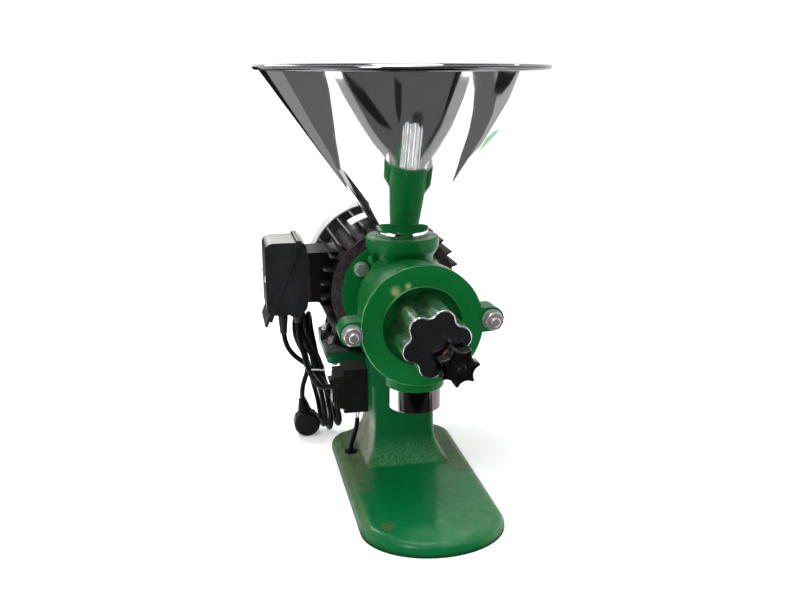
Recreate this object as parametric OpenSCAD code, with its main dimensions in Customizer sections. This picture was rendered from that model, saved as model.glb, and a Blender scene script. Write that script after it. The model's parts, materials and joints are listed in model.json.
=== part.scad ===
// Commercial coffee grinder: a green cast grinding head with a polished cone
// hopper, carried on the face of a black foot-mounted motor, on a green
// pedestal base. Millimetres. +Z is up, the grinding head faces -Y, and the
// origin lies on the table under the hopper's axis.

/* [Machine] */
// Height of the motor shaft above the table
axis_h = 193; // [191:0.5:195]

/* [Hopper] */
// Outer radius of the hopper at its rim
rim_r = 147; // [120:1:160]
// Height of the hopper's rim above the table
rim_z = 440; // [420:1:460]
// Outer radius of the hopper's stub, which sits in the neck
stub_r = 27.45; // [27:0.05:27.5]
// Thickness of the hopper's sheet
sheet_t = 1.4; // [1:0.1:2]

/* [Grinding head] */
// Radius of the head's front ring and of the cover
head_r = 62; // [60:0.5:64]
// Radius of the head's body just in front of the rear flange
waist_r = 44; // [42:0.5:46]
// Radius of the rear flange
flange_r = 60; // [58:0.5:62]
// Distance of the clamping ears from the shaft axis
ear_d = 70.5; // [69:0.5:73]
// How far the ears lean, left one down
ear_tilt = 3; // [0:0.5:6]
// Radius of the collar that the hopper drops into
collar_r = 39; // [36:0.5:41]
// Radius of the neck below the collar
neck_r = 33; // [31.5:0.5:35]

/* [Adjusting knob] */
// Radius over the lobes of the adjusting knob
knob_r = 33.5; // [31:0.5:35]
// Turn of the adjusting knob's lobes at rest
knob_turn = 14; // [10:1:20]
// Radius over the lobes of the lock knob
lock_r = 19.5; // [17:0.5:21]
// Turn of the lock knob's lobes at rest
lock_turn = 5.5; // [0:0.5:51]

/* [Spout] */
// Outer radius of the spout
spout_r = 27.2; // [25:0.1:27.2]
// Height of the spout's mouth above the table
spout_z = 98; // [80:1:110]

/* [Base] */
// Half of the base plate's width
plate_hw = 72; // [70:1:78]
// Thickness of the base plate at its rim
plate_t = 14; // [13:0.5:15]
// Half of the pedestal's width at its waist
post_hw = 35; // [33:0.5:35]
// Half of the motor shelf's width
shelf_hw = 74; // [72:0.5:75]

/* [Motor] */
// Radius over the cooling fins
fin_r = 81; // [78:0.5:81]
// Number of fin places round the barrel
fin_n = 30; // [24:2:40]
// Half of the distance across the foot bolts
foot_x = 62.5; // [60:0.5:64]

/* [Cord] */
// Diameter of the mains cord and of the motor lead
cord_d = 6; // [5.5:0.1:6.2]

/* [Hidden] */
$fn = 72;

green = [0.02, 0.33, 0.16];
steel = [0.78, 0.78, 0.80];
black = [0.07, 0.07, 0.08];
dark = [0.16, 0.16, 0.18];
pale = [0.88, 0.88, 0.84];
brassy = [0.80, 0.64, 0.30];
copper = [0.74, 0.40, 0.22];

// places along the shaft axis, front to back
y_cover = -98;      // front face of the cover
y_split = -92;      // joint between the cover and the head
y_ring = -76;       // back of the front ring
y_chamber = -46;    // back wall of the grinding chamber
y_flange = 30;      // front face of the rear flange
y_motor = 42;       // joint between the head and the motor
y_fins = 56;        // front of the barrel
y_barrel = 160;     // back of the barrel
outlet_y = -61.5;   // axis of the outlet and spout
bolt_ring = 50;     // circle of the bolts in the rear flange
bolt_angles = [38, 142, 218, 322];
lock_a = knob_turn - 60;   // the lobe that carries the lock screw
lock_d = 22.5;
ear_angles = [ear_tilt, 180 + ear_tilt];

// radius of the head's tapering body at a place y along the axis
function body_r(y) = head_r + (waist_r - head_r) * (y - y_ring) / (y_flange - y_ring);

// children's Z axis lies along +Y on the shaft axis
module along_y(y = 0) translate([0, y, axis_h]) rotate([-90, 0, 0]) children();
// the same, off the axis at an angle in the XZ plane
module polar_y(a, r, y) translate([r * cos(a), y, axis_h + r * sin(a)]) rotate([-90, 0, 0]) children();
module ring_y(y, h, ro, ri) along_y(y) difference() {
    cylinder(r = ro, h = h);
    translate([0, 0, -1]) cylinder(r = ri, h = h + 2);
}
module hexagon(af, h) cylinder(d = af / cos(30), h = h, $fn = 6);
// a rounded rectangle from corner points, centred
function rr(w, h, r, n = 5) = [for (q = [0:3]) for (i = [0:n])
    let(a = q * 90 + i * 90 / n, sx = (q == 0 || q == 3) ? 1 : -1, sy = (q < 2) ? 1 : -1)
    [sx * (w / 2 - r) + r * cos(a), sy * (h / 2 - r) + r * sin(a)]];

// smooth route through hand-chosen points
function cr(p0, p1, p2, p3, t) = 0.5 * ((2 * p1) + (p2 - p0) * t
    + (2 * p0 - 5 * p1 + 4 * p2 - p3) * t * t + (3 * p1 - p0 - 3 * p2 + p3) * t * t * t);
function route(p, k) = let(n = len(p)) [for (i = [0:n - 2]) for (j = [0:k - 1])
    cr(i == 0 ? 2 * p[0] - p[1] : p[i - 1], p[i], p[i + 1],
       i == n - 2 ? 2 * p[n - 1] - p[n - 2] : p[i + 2], j / k), p[n - 1]];
function unit(v) = v / norm(v);
function tangents(p) = let(n = len(p)) [for (i = [0:n - 1])
    i == 0 ? unit(p[1] - p[0]) : i == n - 1 ? unit(p[n - 1] - p[n - 2]) : unit(p[i + 1] - p[i - 1])];
function perp(v, t) = unit(v - (v * t) * t);
function frames(t, i, u) = i >= len(t) ? [] : let(w = perp(u, t[i])) concat([w], frames(t, i + 1, w));
// a tube of radius r swept along the points p
module tube(p, r, m = 10, up = [0.3, 1, 0.1]) {
    t = tangents(p);
    u = frames(t, 0, up);
    n = len(p);
    pts = [for (i = [0:n - 1]) for (j = [0:m - 1]) let(a = 360 * j / m)
        p[i] + r * (cos(a) * u[i] + sin(a) * cross(t[i], u[i]))];
    sides = [for (i = [0:n - 2]) for (j = [0:m - 1]) let(k = (j + 1) % m)
        [i * m + j, (i + 1) * m + j, (i + 1) * m + k, i * m + k]];
    polyhedron(pts, concat(sides, [[for (j = [0:m - 1]) j]],
        [[for (j = [0:m - 1]) (n - 1) * m + m - 1 - j]]), convexity = 6);
}

/* ---------------- base ---------------- */
// outline of the base plate: straight sides, half-ellipse nose, round rear corners
function plate_pts(d = 0) = let(hw = plate_hw - d, b = 58 - d, r = 28 - d) concat(
    [for (i = [0:24]) let(a = 180 + i * 7.5) [hw * cos(a), -143 + b * sin(a)]],
    [for (i = [0:6]) let(a = i * 15) [plate_hw - 28 + r * cos(a), 60 + r * sin(a)]],
    [for (i = [0:6]) let(a = 90 + i * 15) [28 - plate_hw + r * cos(a), 60 + r * sin(a)]]);
// the pedestal's cross-sections: height, half-width, front, back
post_rings = [[9, 51, -39, 84], [13, 49.5, -37, 83], [14.6, 47, -32.5, 81], [17.5, 44, -26.5, 78.5], [21.5, 41.2, -21, 75],
    [27, 38.8, -15.8, 70], [34, 36.8, -11.6, 65], [43, 35.5, -9, 60.5], [54, 35, -8, 57.5], [68, 35, -8, 57],
    [82, 35, -8, 60], [91, 35, -8, 69], [98, 35, -8, 84], [106, 35, -8, 108], [109, 35, -8, 116]];
module loft(rings, r, n = 5) {
    k = len(rings);
    m = 4 * (n + 1);
    pts = [for (g = rings) let(w = 2 * g[1] * post_hw / 35, l = g[3] - g[2], c = (g[3] + g[2]) / 2)
        for (p = rr(w, l, r, n)) [p[0], p[1] + c, g[0]]];
    sides = [for (i = [0:k - 2]) for (j = [0:m - 1]) let(q = (j + 1) % m)
        [i * m + j, (i + 1) * m + j, (i + 1) * m + q, i * m + q]];
    polyhedron(pts, concat(sides, [[for (j = [0:m - 1]) j]],
        [[for (j = [0:m - 1]) (k - 1) * m + m - 1 - j]]), convexity = 4);
}
module base_casting() color(green) difference() {
    union() {
        hull() {
            linear_extrude(4 * plate_t / 14) polygon(plate_pts(0));
            for (s = [[7, 0.8], [9.6, 2.4], [12, 5.2], [13.4, 8.2], [14, 11.5]])
                translate([0, 0, s[0] * plate_t / 14 - 0.1]) linear_extrude(0.1) polygon(plate_pts(s[1]));
        }
        loft(post_rings, 6);
        // motor shelf
        translate([0, 0, 105]) linear_extrude(8) polygon([for (p = rr(2 * shelf_hw, 98, 6)) p + [0, 113]]);
        // saddle under the grinding head
        translate([-post_hw, -8, 100]) cube([2 * post_hw, 44, 46]);
    }
    // hollow underside
    difference() {
        translate([0, 0, -1]) linear_extrude(8) polygon(plate_pts(9));
        translate([-80, -4, -2]) cube([160, 8, 10]);
    }
    // clearance round the grinding head
    along_y(0) rotate_extrude() polygon([[0, -40], [body_r(-40) + 0.8, -40],
        [body_r(29) + 0.8, 29], [flange_r + 1, 29], [flange_r + 1, 43], [0, 43]]);
    // foot bolt holes
    for (x = [-foot_x, foot_x]) for (y = [92, 148]) translate([x, y, 100]) cylinder(r = 4.6, h = 20);
    // cable hole with the rubber grommet's seat
    translate([-56, 18, -1]) cylinder(r = 5.5, h = 20);
}

/* ---------------- grinding head ---------------- */
module ear2d(r) for (a = ear_angles) rotate(-a) {
    translate([ear_d, 0]) circle(r);
    translate([40, -r]) square([ear_d - 40, 2 * r]);
}
module housing() color(green) difference() {
    union() {
        along_y(0) rotate_extrude() polygon([[0, y_split], [head_r - 0.6, y_split], [head_r - 0.6, y_ring],
            [waist_r, y_flange], [flange_r, y_flange], [flange_r, y_motor], [0, y_motor]]);
        along_y(y_split) linear_extrude(20) ear2d(12);
        // outlet boss
        translate([0, outlet_y, 122]) cylinder(r = 30.5, h = 45);
        // neck and collar
        translate([0, 0, axis_h]) rotate_extrude() polygon([[0, 0], [neck_r, 0], [neck_r, 51],
            [collar_r, 62], [collar_r, 71.5], [collar_r - 1.5, 73], [0, 73]]);
    }
    // grinding chamber, feed bore, seal seat, motor spigot
    along_y(y_split - 1) cylinder(r = 54, h = y_chamber - y_split + 1);
    along_y(y_chamber - 1) cylinder(r = 30, h = 27 - y_chamber);
    along_y(20) cylinder(r = 17, h = 15);
    along_y(30) cylinder(r = 13, h = 20);
    along_y(38) cylinder(r = 40.05, h = 10);
    // neck bore and outlet
    translate([0, 0, axis_h]) cylinder(r = 27.8, h = 80);
    translate([0, outlet_y, 110]) cylinder(r = spout_r + 0.05, h = 27);
    translate([0, outlet_y, 120]) cylinder(r = 24, h = 32);
    // set screw in the neck, bolts in the flange, studs in the ears
    translate([0, 0, 245]) rotate([0, 0, 205]) rotate([0, 90, 0]) cylinder(r = 2.55, h = 60);
    for (a = bolt_angles) polar_y(a, bolt_ring, 20) cylinder(r = 4.5, h = 40);
    for (a = ear_angles) polar_y(a, ear_d, y_split - 1) cylinder(r = 5.05, h = 18);
    // spot faces so that the washers lie flat
    for (a = bolt_angles) polar_y(a, bolt_ring, y_flange - 18) cylinder(r = 9, h = 18);
}
module front_cover() color(green) difference() {
    union() {
        along_y(0) rotate_extrude() polygon([[0, y_cover], [head_r - 1.2, y_cover], [head_r, y_cover + 1.2],
            [head_r, y_split - 0.05], [53.7, y_split - 0.05], [53.7, y_split + 3], [44, y_split + 3], [44, -80], [0, -80]]);
        along_y(y_cover) linear_extrude(5.95) ear2d(12.5);
    }
    along_y(y_cover - 1) cylinder(r1 = 40, r2 = 39, h = 13);
    along_y(-100) cylinder(r = 13.02, h = 25);
    for (a = ear_angles) polar_y(a, ear_d, y_cover - 1) cylinder(r = 5.5, h = 10);
    for (a = [90, 270]) polar_y(a, 26, -84) cylinder(r = 2.51, h = 10);
}
module adjusting_sleeve() color(brassy) along_y(0) rotate_extrude() polygon([[10.05, -86.9], [13, -86.9],
    [13, -80.05], [16, -79.95], [16, -78], [10.05, -78]]);
module cover_studs() color(steel) for (a = ear_angles) polar_y(a, ear_d, -112) {
    cylinder(r1 = 3.8, r2 = 5, h = 1.2);
    translate([0, 0, 1.2]) cylinder(r = 5, h = 34.8);
}
module cover_nuts() color(steel) for (a = ear_angles) polar_y(a, ear_d, -108.1) difference() {
    intersection() {
        hexagon(17, 8);
        cylinder(r1 = 8.2, r2 = 18, h = 10);
    }
    translate([0, 0, -1]) cylinder(r = 5.03, h = 12);
}
module cover_washers() color(steel) for (a = ear_angles) {
    polar_y(a, ear_d, -100.05) difference() { cylinder(r = 10.4, h = 2); translate([0, 0, -1]) cylinder(r = 5.3, h = 4); }
}
module guide_pins() color(steel) for (a = [90, 270]) polar_y(a, 26, -84) cylinder(r = 2.5, h = 11.5);
module housing_bolts() color(steel) for (a = bolt_angles) polar_y(a, bolt_ring, 22.8) {
    hexagon(13, 5.45);
    translate([0, 0, 5.4]) cylinder(r = 4, h = 22);
}
// the flat washers under the flange bolts, and over and under the feet
module washer() difference() { cylinder(r = 8.5, h = 1.65); translate([0, 0, -1]) cylinder(r = 4.2, h = 4); }
module bolt_washers() color(steel) {
    for (a = bolt_angles) polar_y(a, bolt_ring, 28.3) washer();
    for (x = [-foot_x, foot_x]) for (y = [92, 148]) for (z = [121.05, 103.3]) translate([x, y, z]) washer();
}
module shaft_seal() color(dark) ring_y(27, 7, 16.97, 9.58);
module spout() color(steel) translate([0, outlet_y, 0]) rotate_extrude() polygon([[spout_r - 1.2, spout_z],
    [spout_r, spout_z], [spout_r, 136.9], [spout_r - 1.2, 136.9]]);
module hopper() color(steel) {
    k = (rim_r - stub_r) / (rim_z - 273);
    s = sheet_t * sqrt(1 + k * k);
    rotate_extrude($fn = 144) union() {
        polygon([[stub_r - sheet_t, 234], [stub_r, 234], [stub_r, 273], [rim_r, rim_z],
            [rim_r - s, rim_z], [stub_r - sheet_t, 273 + (s - sheet_t) / k]]);
        translate([rim_r + 0.8, rim_z - 1.2]) circle(2.6, $fn = 32);
    }
}
module hopper_set_screw() color(green) translate([0, 0, 245]) rotate([0, 0, 205]) rotate([0, 90, 0]) {
    translate([0, 0, 28]) cylinder(r = 2.5, h = 9.5);
    translate([0, 0, 37.2]) hexagon(8, 5);
}

/* ---------------- knobs ---------------- */
module lobed(n, r, bulge, valley, vd) difference() {
    union() {
        circle(vd + 1.5);
        for (i = [0:n - 1]) rotate(i * 360 / n) translate([r - bulge, 0]) circle(bulge);
    }
    for (i = [0:n - 1]) rotate((i + 0.5) * 360 / n) translate([vd + valley, 0]) circle(valley);
}
module adjusting_knob() color(steel) difference() {
    union() {
        along_y(-157) rotate([0, 0, -knob_turn]) linear_extrude(68.6) lobed(6, knob_r, 11.5, 8, 26.5);
        along_y(-89) cylinder(r = 10, h = 12.9);
    }
    along_y(-112) cylinder(r = 6.05, h = 40);
    // clear hole for the lock screw, through one lobe
    polar_y(lock_a, lock_d, -158) cylinder(r = 4.05, h = 80);
}
module lock_stem() color(steel) polar_y(lock_a, lock_d, -174) cylinder(r = 4, h = 86.8);
module star2d(n, r) difference() {
    circle(r);
    for (i = [0:n - 1]) rotate((i + 0.5) * 360 / n) translate([r * 1.22, 0]) circle(r * 0.47);
}
module lock_knob() color(black) difference() {
    union() {
        polar_y(lock_a, lock_d, -178.5) rotate([0, 0, -lock_turn]) linear_extrude(15.5) star2d(7, lock_r);
        polar_y(lock_a, lock_d, -163.1) cylinder(r1 = 11, r2 = 8, h = 5);
    }
    polar_y(lock_a, lock_d, -174.5) cylinder(r = 4.05, h = 30);
}

/* ---------------- burrs and feed ---------------- */
module burr_carrier() color(dark) difference() {
    union() {
        ring_y(-76, 7, 43, 0);
        along_y(-104) cylinder(r = 6, h = 30);
    }
    for (a = [90, 270]) polar_y(a, 26, -78) cylinder(r = 2.56, h = 7);
    for (a = [30, 150, 270]) polar_y(a, 31, -78) cylinder(r = 2.03, h = 12);
    along_y(-72) cylinder(r = 17, h = 5);
}
// a flat burr: a ring with slanting grooves cut in the working face
module burr(y, face) difference() {
    ring_y(y, 7.5, 42.5, 18);
    for (i = [0:11]) along_y(face) rotate([0, 0, i * 30]) translate([14, -1.2, -1.1]) rotate([0, 0, 14]) cube([34, 2.4, 2.2]);
}
module fixed_burr() color(steel) difference() {
    burr(-69, -61.5);
    for (a = [30, 150, 270]) polar_y(a, 31, -70) { cylinder(r = 2.1, h = 12); translate([0, 0, 4.5]) cylinder(r1 = 2.1, r2 = 4.4, h = 2.3); translate([0, 0, 6.8]) cylinder(r = 4.4, h = 4); }
}
module fixed_burr_screws() color(dark) for (a = [30, 150, 270]) polar_y(a, 31, -74) {
    cylinder(r = 2, h = 8.6);
    translate([0, 0, 8.6]) cylinder(r1 = 2, r2 = 4.2, h = 2.2);
}
module rotating_burr() color(steel) difference() {
    burr(-60.5, -60.5);
    for (a = [90, 210, 330]) polar_y(a, 31, -62) { cylinder(r = 4.4, h = 4.2); translate([0, 0, 4.2]) cylinder(r1 = 4.4, r2 = 2.1, h = 2.3); cylinder(r = 2.1, h = 12); }
}
module rotating_burr_screws() color(dark) for (a = [90, 210, 330]) polar_y(a, 31, -57.7) {
    cylinder(r1 = 4.2, r2 = 2, h = 2.2);
    translate([0, 0, 2.2]) cylinder(r = 2, h = 6.4);
}
module burr_holder() color(dark) difference() {
    union() {
        ring_y(-53, 5, 43, 0);
        along_y(-53) cylinder(r = 14.5, h = 6);
    }
    along_y(-60) cylinder(r = 9.53, h = 20);
    for (a = [30, 150, 270]) polar_y(a, 22.5, -55) cylinder(r = 6.5, h = 12);
    for (a = [90, 210, 330]) polar_y(a, 31, -55) cylinder(r = 2.03, h = 12);
}
module shaft_end_bolt() color(steel) along_y(-60.6) {
    hexagon(13, 5.3);
    translate([0, 0, 5.3]) cylinder(r = 13, h = 2.2);
    translate([0, 0, 7.5]) cylinder(r = 3, h = 18);
}
module feed_auger() color(dark) difference() {
    union() {
        along_y(-46.9) cylinder(r = 13, h = 70);
        along_y(-45) linear_extrude(height = 66, twist = -660, slices = 60, convexity = 6)
            polygon(concat([for (i = [0:4]) 12 * [cos(i * 12), sin(i * 12)]],
                [for (i = [0:4]) 28.6 * [cos(43 - i * 9.5), sin(43 - i * 9.5)]]));
    }
    along_y(-60) cylinder(r = 9.53, h = 100);
    translate([-2.53, -40, axis_h + 5]) cube([5.06, 60, 7]);
}
module auger_key() color(steel) translate([-2.5, -36, axis_h + 7]) cube([5, 50, 4.8]);
module motor_shaft() color(steel) difference() {
    along_y(0) rotate_extrude() polygon([[0, -52.4], [9.5, -52.4], [9.5, 44.4], [10, 44.4], [10, 60],
        [12, 60], [12, 157], [10, 157], [10, 174], [8, 174], [8, 199], [0, 199]]);
    translate([-2.52, -36.1, axis_h + 6.98]) cube([5.04, 50.2, 7]);
    along_y(-56) cylinder(r = 3.03, h = 24);
}

/* ---------------- motor ---------------- */
module rotor_core() color(steel) ring_y(84, 48, 35.9, 12.02);
module cooling_fan() color(dark) difference() {
    union() {
        along_y(180) cylinder(r = 15, h = 17);
        along_y(180) cylinder(r = 42, h = 2.5);
        for (i = [0:8]) along_y(180) rotate([0, 0, i * 40]) translate([13, -1, 0]) cube([47, 2, 16]);
    }
    along_y(170) cylinder(r = 8.03, h = 40);
}
module bearing(y) color(steel) along_y(y) rotate_extrude() polygon([[10.03, 0], [14, 0], [14, 1.2], [19.5, 1.2],
    [19.5, 0], [23.47, 0], [23.47, 14], [19.5, 14], [19.5, 12.8], [14, 12.8], [14, 14], [10.03, 14]]);
module motor_bearings() { bearing(45); bearing(158); }
module front_end_shield() color(black) difference() {
    along_y(0) rotate_extrude() polygon([[12, 38.05], [40, 38.05], [40, y_motor + 0.05], [71, y_motor + 0.05], [71, 50], [69, 54],
        [69, y_fins - 0.05], [61.9, y_fins - 0.05], [61.9, 62], [57, 62], [57, 55], [31, 55], [31, 59.5], [23.5, 59.5], [23.5, 45], [12, 45]]);
    for (a = bolt_angles) polar_y(a, bolt_ring, 38) cylinder(r = 4.05, h = 14.5);
    for (a = [45:90:315]) polar_y(a, 65.5, 40) cylinder(r = 2.55, h = 20);
    for (a = [45:90:315]) polar_y(a, 65.5, 40) cylinder(r = 4.6, h = 6.05);
}
module rear_end_shield() color(black) difference() {
    union() {
    // lugs that carry the fan cowl
    for (a = [30, 150, 270]) along_y(161) rotate([0, 0, a]) translate([62, -5, 0]) cube([18.8, 10, 20]);
    along_y(0) rotate_extrude() polygon([[61.9, 154], [61.9, y_barrel + 0.05], [70, y_barrel + 0.05], [70, 168], [31, 168], [31, 177],
        [12, 177], [12, 172.05], [23.5, 172.05], [23.5, 157], [31, 157], [31, 161], [57, 161], [57, 154]]);
    }
    for (a = [30, 150, 270]) along_y(176) rotate([0, 0, a]) rotate([0, 90, 0]) translate([0, 0, 70]) cylinder(r = 2.03, h = 20);
    for (a = [45:90:315]) polar_y(a, 65.5, 150) cylinder(r = 2.55, h = 20);
}
module tie_bolts() color(steel) for (a = [45:90:315]) polar_y(a, 65.5, 42.6) {
    cylinder(r = 4.3, h = 3.4);
    translate([0, 0, 3.4]) cylinder(r = 2.5, h = 121.6);
}
module motor_frame() color(black) difference() {
    union() {
        ring_y(y_fins, y_barrel - y_fins, 70, 60);
        intersection() {
            for (i = [0:fin_n - 1]) along_y(y_fins + 0.6) rotate([0, 0, (i + 0.5) * 360 / fin_n])
                translate([68.5, -1.1, 0]) cube([fin_r - 68.5, 2.2, y_barrel - y_fins - 1.2]);
            translate([-100, 0, 115]) cube([200, 200, 200]);
        }
        // feet
        for (s = [-1, 1]) for (y = [78, 131.9]) translate([0, y, 0]) scale_x(s)
            translate([0, 28, 0]) rotate([90, 0, 0]) linear_extrude(28)
                polygon([[46, 113.05], [74, 113.05], [74, 121], [66, 123.5], [62, 140], [61, 160], [45, 141]]);
        // pad for the terminal box
        translate([-93.95, 78, 176]) cube([44, 54, 58]);
    }
    along_y(y_fins - 1) cylinder(r = 62, h = y_barrel - y_fins + 2);
    for (a = [45:90:315]) polar_y(a, 65.5, 50) cylinder(r = 2.55, h = 120);
    for (x = [-foot_x, foot_x]) for (y = [92, 148]) translate([x, y, 110]) cylinder(r = 4.6, h = 20);
    // spot faces on the feet
    for (x = [-foot_x - 0.5, foot_x + 0.5]) for (y = [92, 148]) translate([x, y, 121]) cylinder(r = 9.2, h = 12);
    translate([-96, 88, 190]) cube([51, 34, 30]);
}
module scale_x(s) if (s < 0) mirror([1, 0, 0]) children(); else children();
module stator_core() color(steel) ring_y(84, 48, 61.95, 36.3);
module stator_windings() color(copper) for (y = [[73, 83.9], [132.1, 143]]) along_y(0) rotate_extrude()
    polygon([[40, y[0] + 3], [43, y[0]], [53, y[0]], [56, y[0] + 3], [56, y[1] - 3], [53, y[1]], [43, y[1]], [40, y[1] - 3]]);
module fan_cowl() color(black) difference() {
    along_y(0) rotate_extrude() polygon([[81, 163], [82.4, 163], [82.4, 190], [80.5, 200], [74, 206], [0, 206], [0, 204.6],
        [73.5, 204.6], [79.2, 199.4], [81, 189.8]]);
    for (i = [-4:4]) along_y(200) translate([-sqrt(58 * 58 - 144 * i * i), 12 * i - 2, 0]) cube([2 * sqrt(58 * 58 - 144 * i * i), 4, 10]);
    for (a = [30, 150, 270]) along_y(176) rotate([0, 0, a]) rotate([0, 90, 0]) cylinder(r = 2.3, h = 100);
}
module cowl_screws() color(steel) for (a = [30, 150, 270]) along_y(176) rotate([0, 0, a]) rotate([0, 90, 0]) {
    translate([0, 0, 76]) cylinder(r = 2, h = 6.6);
    translate([0, 0, 82.5]) cylinder(r1 = 4, r2 = 3, h = 1.8);
}
module foot_bolts() color(steel) for (x = [-foot_x, foot_x]) for (y = [92, 148]) translate([x, y, 0]) {
    translate([0, 0, 122.75]) hexagon(13, 5.5);
    translate([0, 0, 94]) cylinder(r = 4, h = 29);
}
module foot_nuts() color(steel) for (x = [-foot_x, foot_x]) for (y = [92, 148]) translate([x, y, 96.75])
    difference() { hexagon(13, 6.5); translate([0, 0, -1]) cylinder(r = 4.03, h = 9); }

/* ---------------- terminal box ---------------- */
box_y0 = 75;
box_y1 = 135;
// slanting joint between the box and its lid: from high on the right to low on the left
part_a = [-103, 248];
part_u = unit([-36, -92]);
part_n = [part_u[1], -part_u[0]];   // towards the lid
function on_part(s, n) = part_a + s * part_u + n * part_n;
module extr_y(y0, y1) translate([0, y1, 0]) rotate([90, 0, 0]) linear_extrude(y1 - y0) children();
module box2d(d) polygon([for (p = [for (i = [0:5]) [-102 + (8 - d) * cos(i * 18), 239 + (8 - d) * sin(i * 18)],
    for (i = [0:5]) [-132 + (9 - d) * cos(90 + i * 18), 238 + (9 - d) * sin(90 + i * 18)],
    for (i = [0:5]) [-134 + (7 - d) * cos(180 + i * 18), 170 + (7 - d) * sin(180 + i * 18)],
    for (i = [0:5]) [-106 + (12 - d) * cos(270 + i * 18), 175 + (12 - d) * sin(270 + i * 18)]]) p]);
module side2d(n0, n1, s0 = -60, s1 = 160) polygon([on_part(s0, n0), on_part(s1, n0), on_part(s1, n1), on_part(s0, n1)]);
// posts inside for the two lid screws
module box_posts(r, x0, x1) for (y = [81.5, 128.5]) translate([x0, y, 205]) rotate([0, 90, 0]) cylinder(r = r, h = x1 - x0);
module terminal_box_base() color(black) difference() {
    union() {
        difference() {
            union() {
                extr_y(box_y0, box_y1) intersection() { box2d(0); side2d(-90, -0.05); }
                extr_y(box_y0 - 2.5, box_y1 + 2.5) intersection() { side2d(-3, -0.05, -2, 98); translate([-150, 150]) square([56, 100]); }
            }
            extr_y(box_y0 + 2.5, box_y1 - 2.5) box2d(2.5);
        }
        intersection() { box_posts(3.5, -130, -96); extr_y(70, 140) side2d(-90, -0.05); }
        // rib that carries the capacitor
        translate([-129, 100, 171]) cube([33.5, 10, 2.95]);
    }
    box_posts(1.65, -145, -104);
    translate([-100, 89, 191]) cube([20, 32, 28]);
    translate([-121, 105, 150]) cylinder(r = 6.05, h = 20);
    translate([-105, 92, 150]) cylinder(r = 6.05, h = 20);
}
module terminal_box_lid() color(black) difference() {
    union() {
        difference() {
            union() {
                extr_y(box_y0, box_y1) intersection() { box2d(0); side2d(0.05, 90); }
                extr_y(box_y0 - 2.5, box_y1 + 2.5) side2d(0.05, 3, -1, 105);
            }
            extr_y(box_y0 + 2.5, box_y1 - 2.5) box2d(2.5);
        }
        intersection() { box_posts(3.5, -140, -96); extr_y(70, 140) side2d(0.05, 90); }
    }
    box_posts(1.65, -145, -96);
}
module lid_screws() color(steel) for (y = [81.5, 128.5]) translate([-142.4, y, 205]) rotate([0, 90, 0]) {
    cylinder(r1 = 2.6, r2 = 3.4, h = 1.35);
    translate([0, 0, 1.3]) cylinder(r = 1.6, h = 36);
}
module terminal_block() color(pale) translate([-105.6, 92, 194]) difference() {
    cube([9, 28, 20]);
    for (z = [5, 10, 15]) for (y = [7, 21]) translate([-1, y, z]) rotate([0, 90, 0]) cylinder(r = 1.6, h = 6);
}
module run_capacitor() color(dark) translate([-121.5, 105, 174]) {
    cylinder(r = 13.5, h = 58);
    for (s = [-5, 5]) translate([s - 0.4, -3, 57.9]) cube([0.8, 6, 5.1]);
}
module gland(p, drop) translate(p) difference() {
    union() {
        translate([0, 0, -1.2]) cylinder(r = 6, h = 6.2);
        translate([0, 0, -6.05]) hexagon(15, 6);
        translate([0, 0, -6 - drop]) cylinder(r1 = cord_d / 2 + 1.1, r2 = 6, h = drop);
    }
    translate([0, 0, -8 - drop]) cylinder(r = cord_d / 2 + 0.02, h = drop + 20);
}
module cord_gland() color(black) gland([-121, 105, 163], 24);
module lead_gland() color(black) gland([-105, 92, 163], 8);

/* ---------------- cords ---------------- */
lead_pts = [[-105, 92, 166], [-105, 92, 148], [-104, 90, 132], [-100, 84, 112], [-95, 75, 94], [-89, 64, 83],
    [-82, 55, 80], [-75, 50.5, 82], [-66, 49, 83], [-60, 49, 83]];
module motor_lead() color(black) tube(route(lead_pts, 4), cord_d / 2 - 0.03, 10);

// the lead-in runs from the gland across the front of the hank to its right-hand turn
in_pts = [[-121, 105, 168], [-121, 105, 133], [-119.8, 104.1, 120.5], [-115, 100.9, 110.5], [-107.2, 96.4, 102.5],
    [-98, 92, 95], [-89, 89.3, 86], [-81.3, 89, 76], [-75, 90, 65], [-71, 93, 54], [-68.7, 96, 43.5], [-66.8, 97, 33.5]];
module cord_lead_in() color(black) tube(route(in_pts, 4), cord_d / 2, 10);
// the hank: a bundle of long loops, leaning, its lower folds on the table
hank_c = [-80, 115, 73];
hank_lean = 10;
fold_r = 18;
run_l = 102;
hank_w = 3 * 6.2 + 0.8;
module hank_frame() translate(hank_c) rotate([0, -hank_lean, 0]) children();
module cord_hank() color(black) hank_frame() rotate([90, 0, 90]) translate([0, 0, -hank_w / 2]) linear_extrude(hank_w) {
    for (s = [-1, 1]) translate([0, s * run_l / 2]) circle(fold_r + cord_d / 2 + 0.2);
    square([2 * (fold_r + cord_d / 2 + 0.2), run_l], center = true);
}
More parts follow.
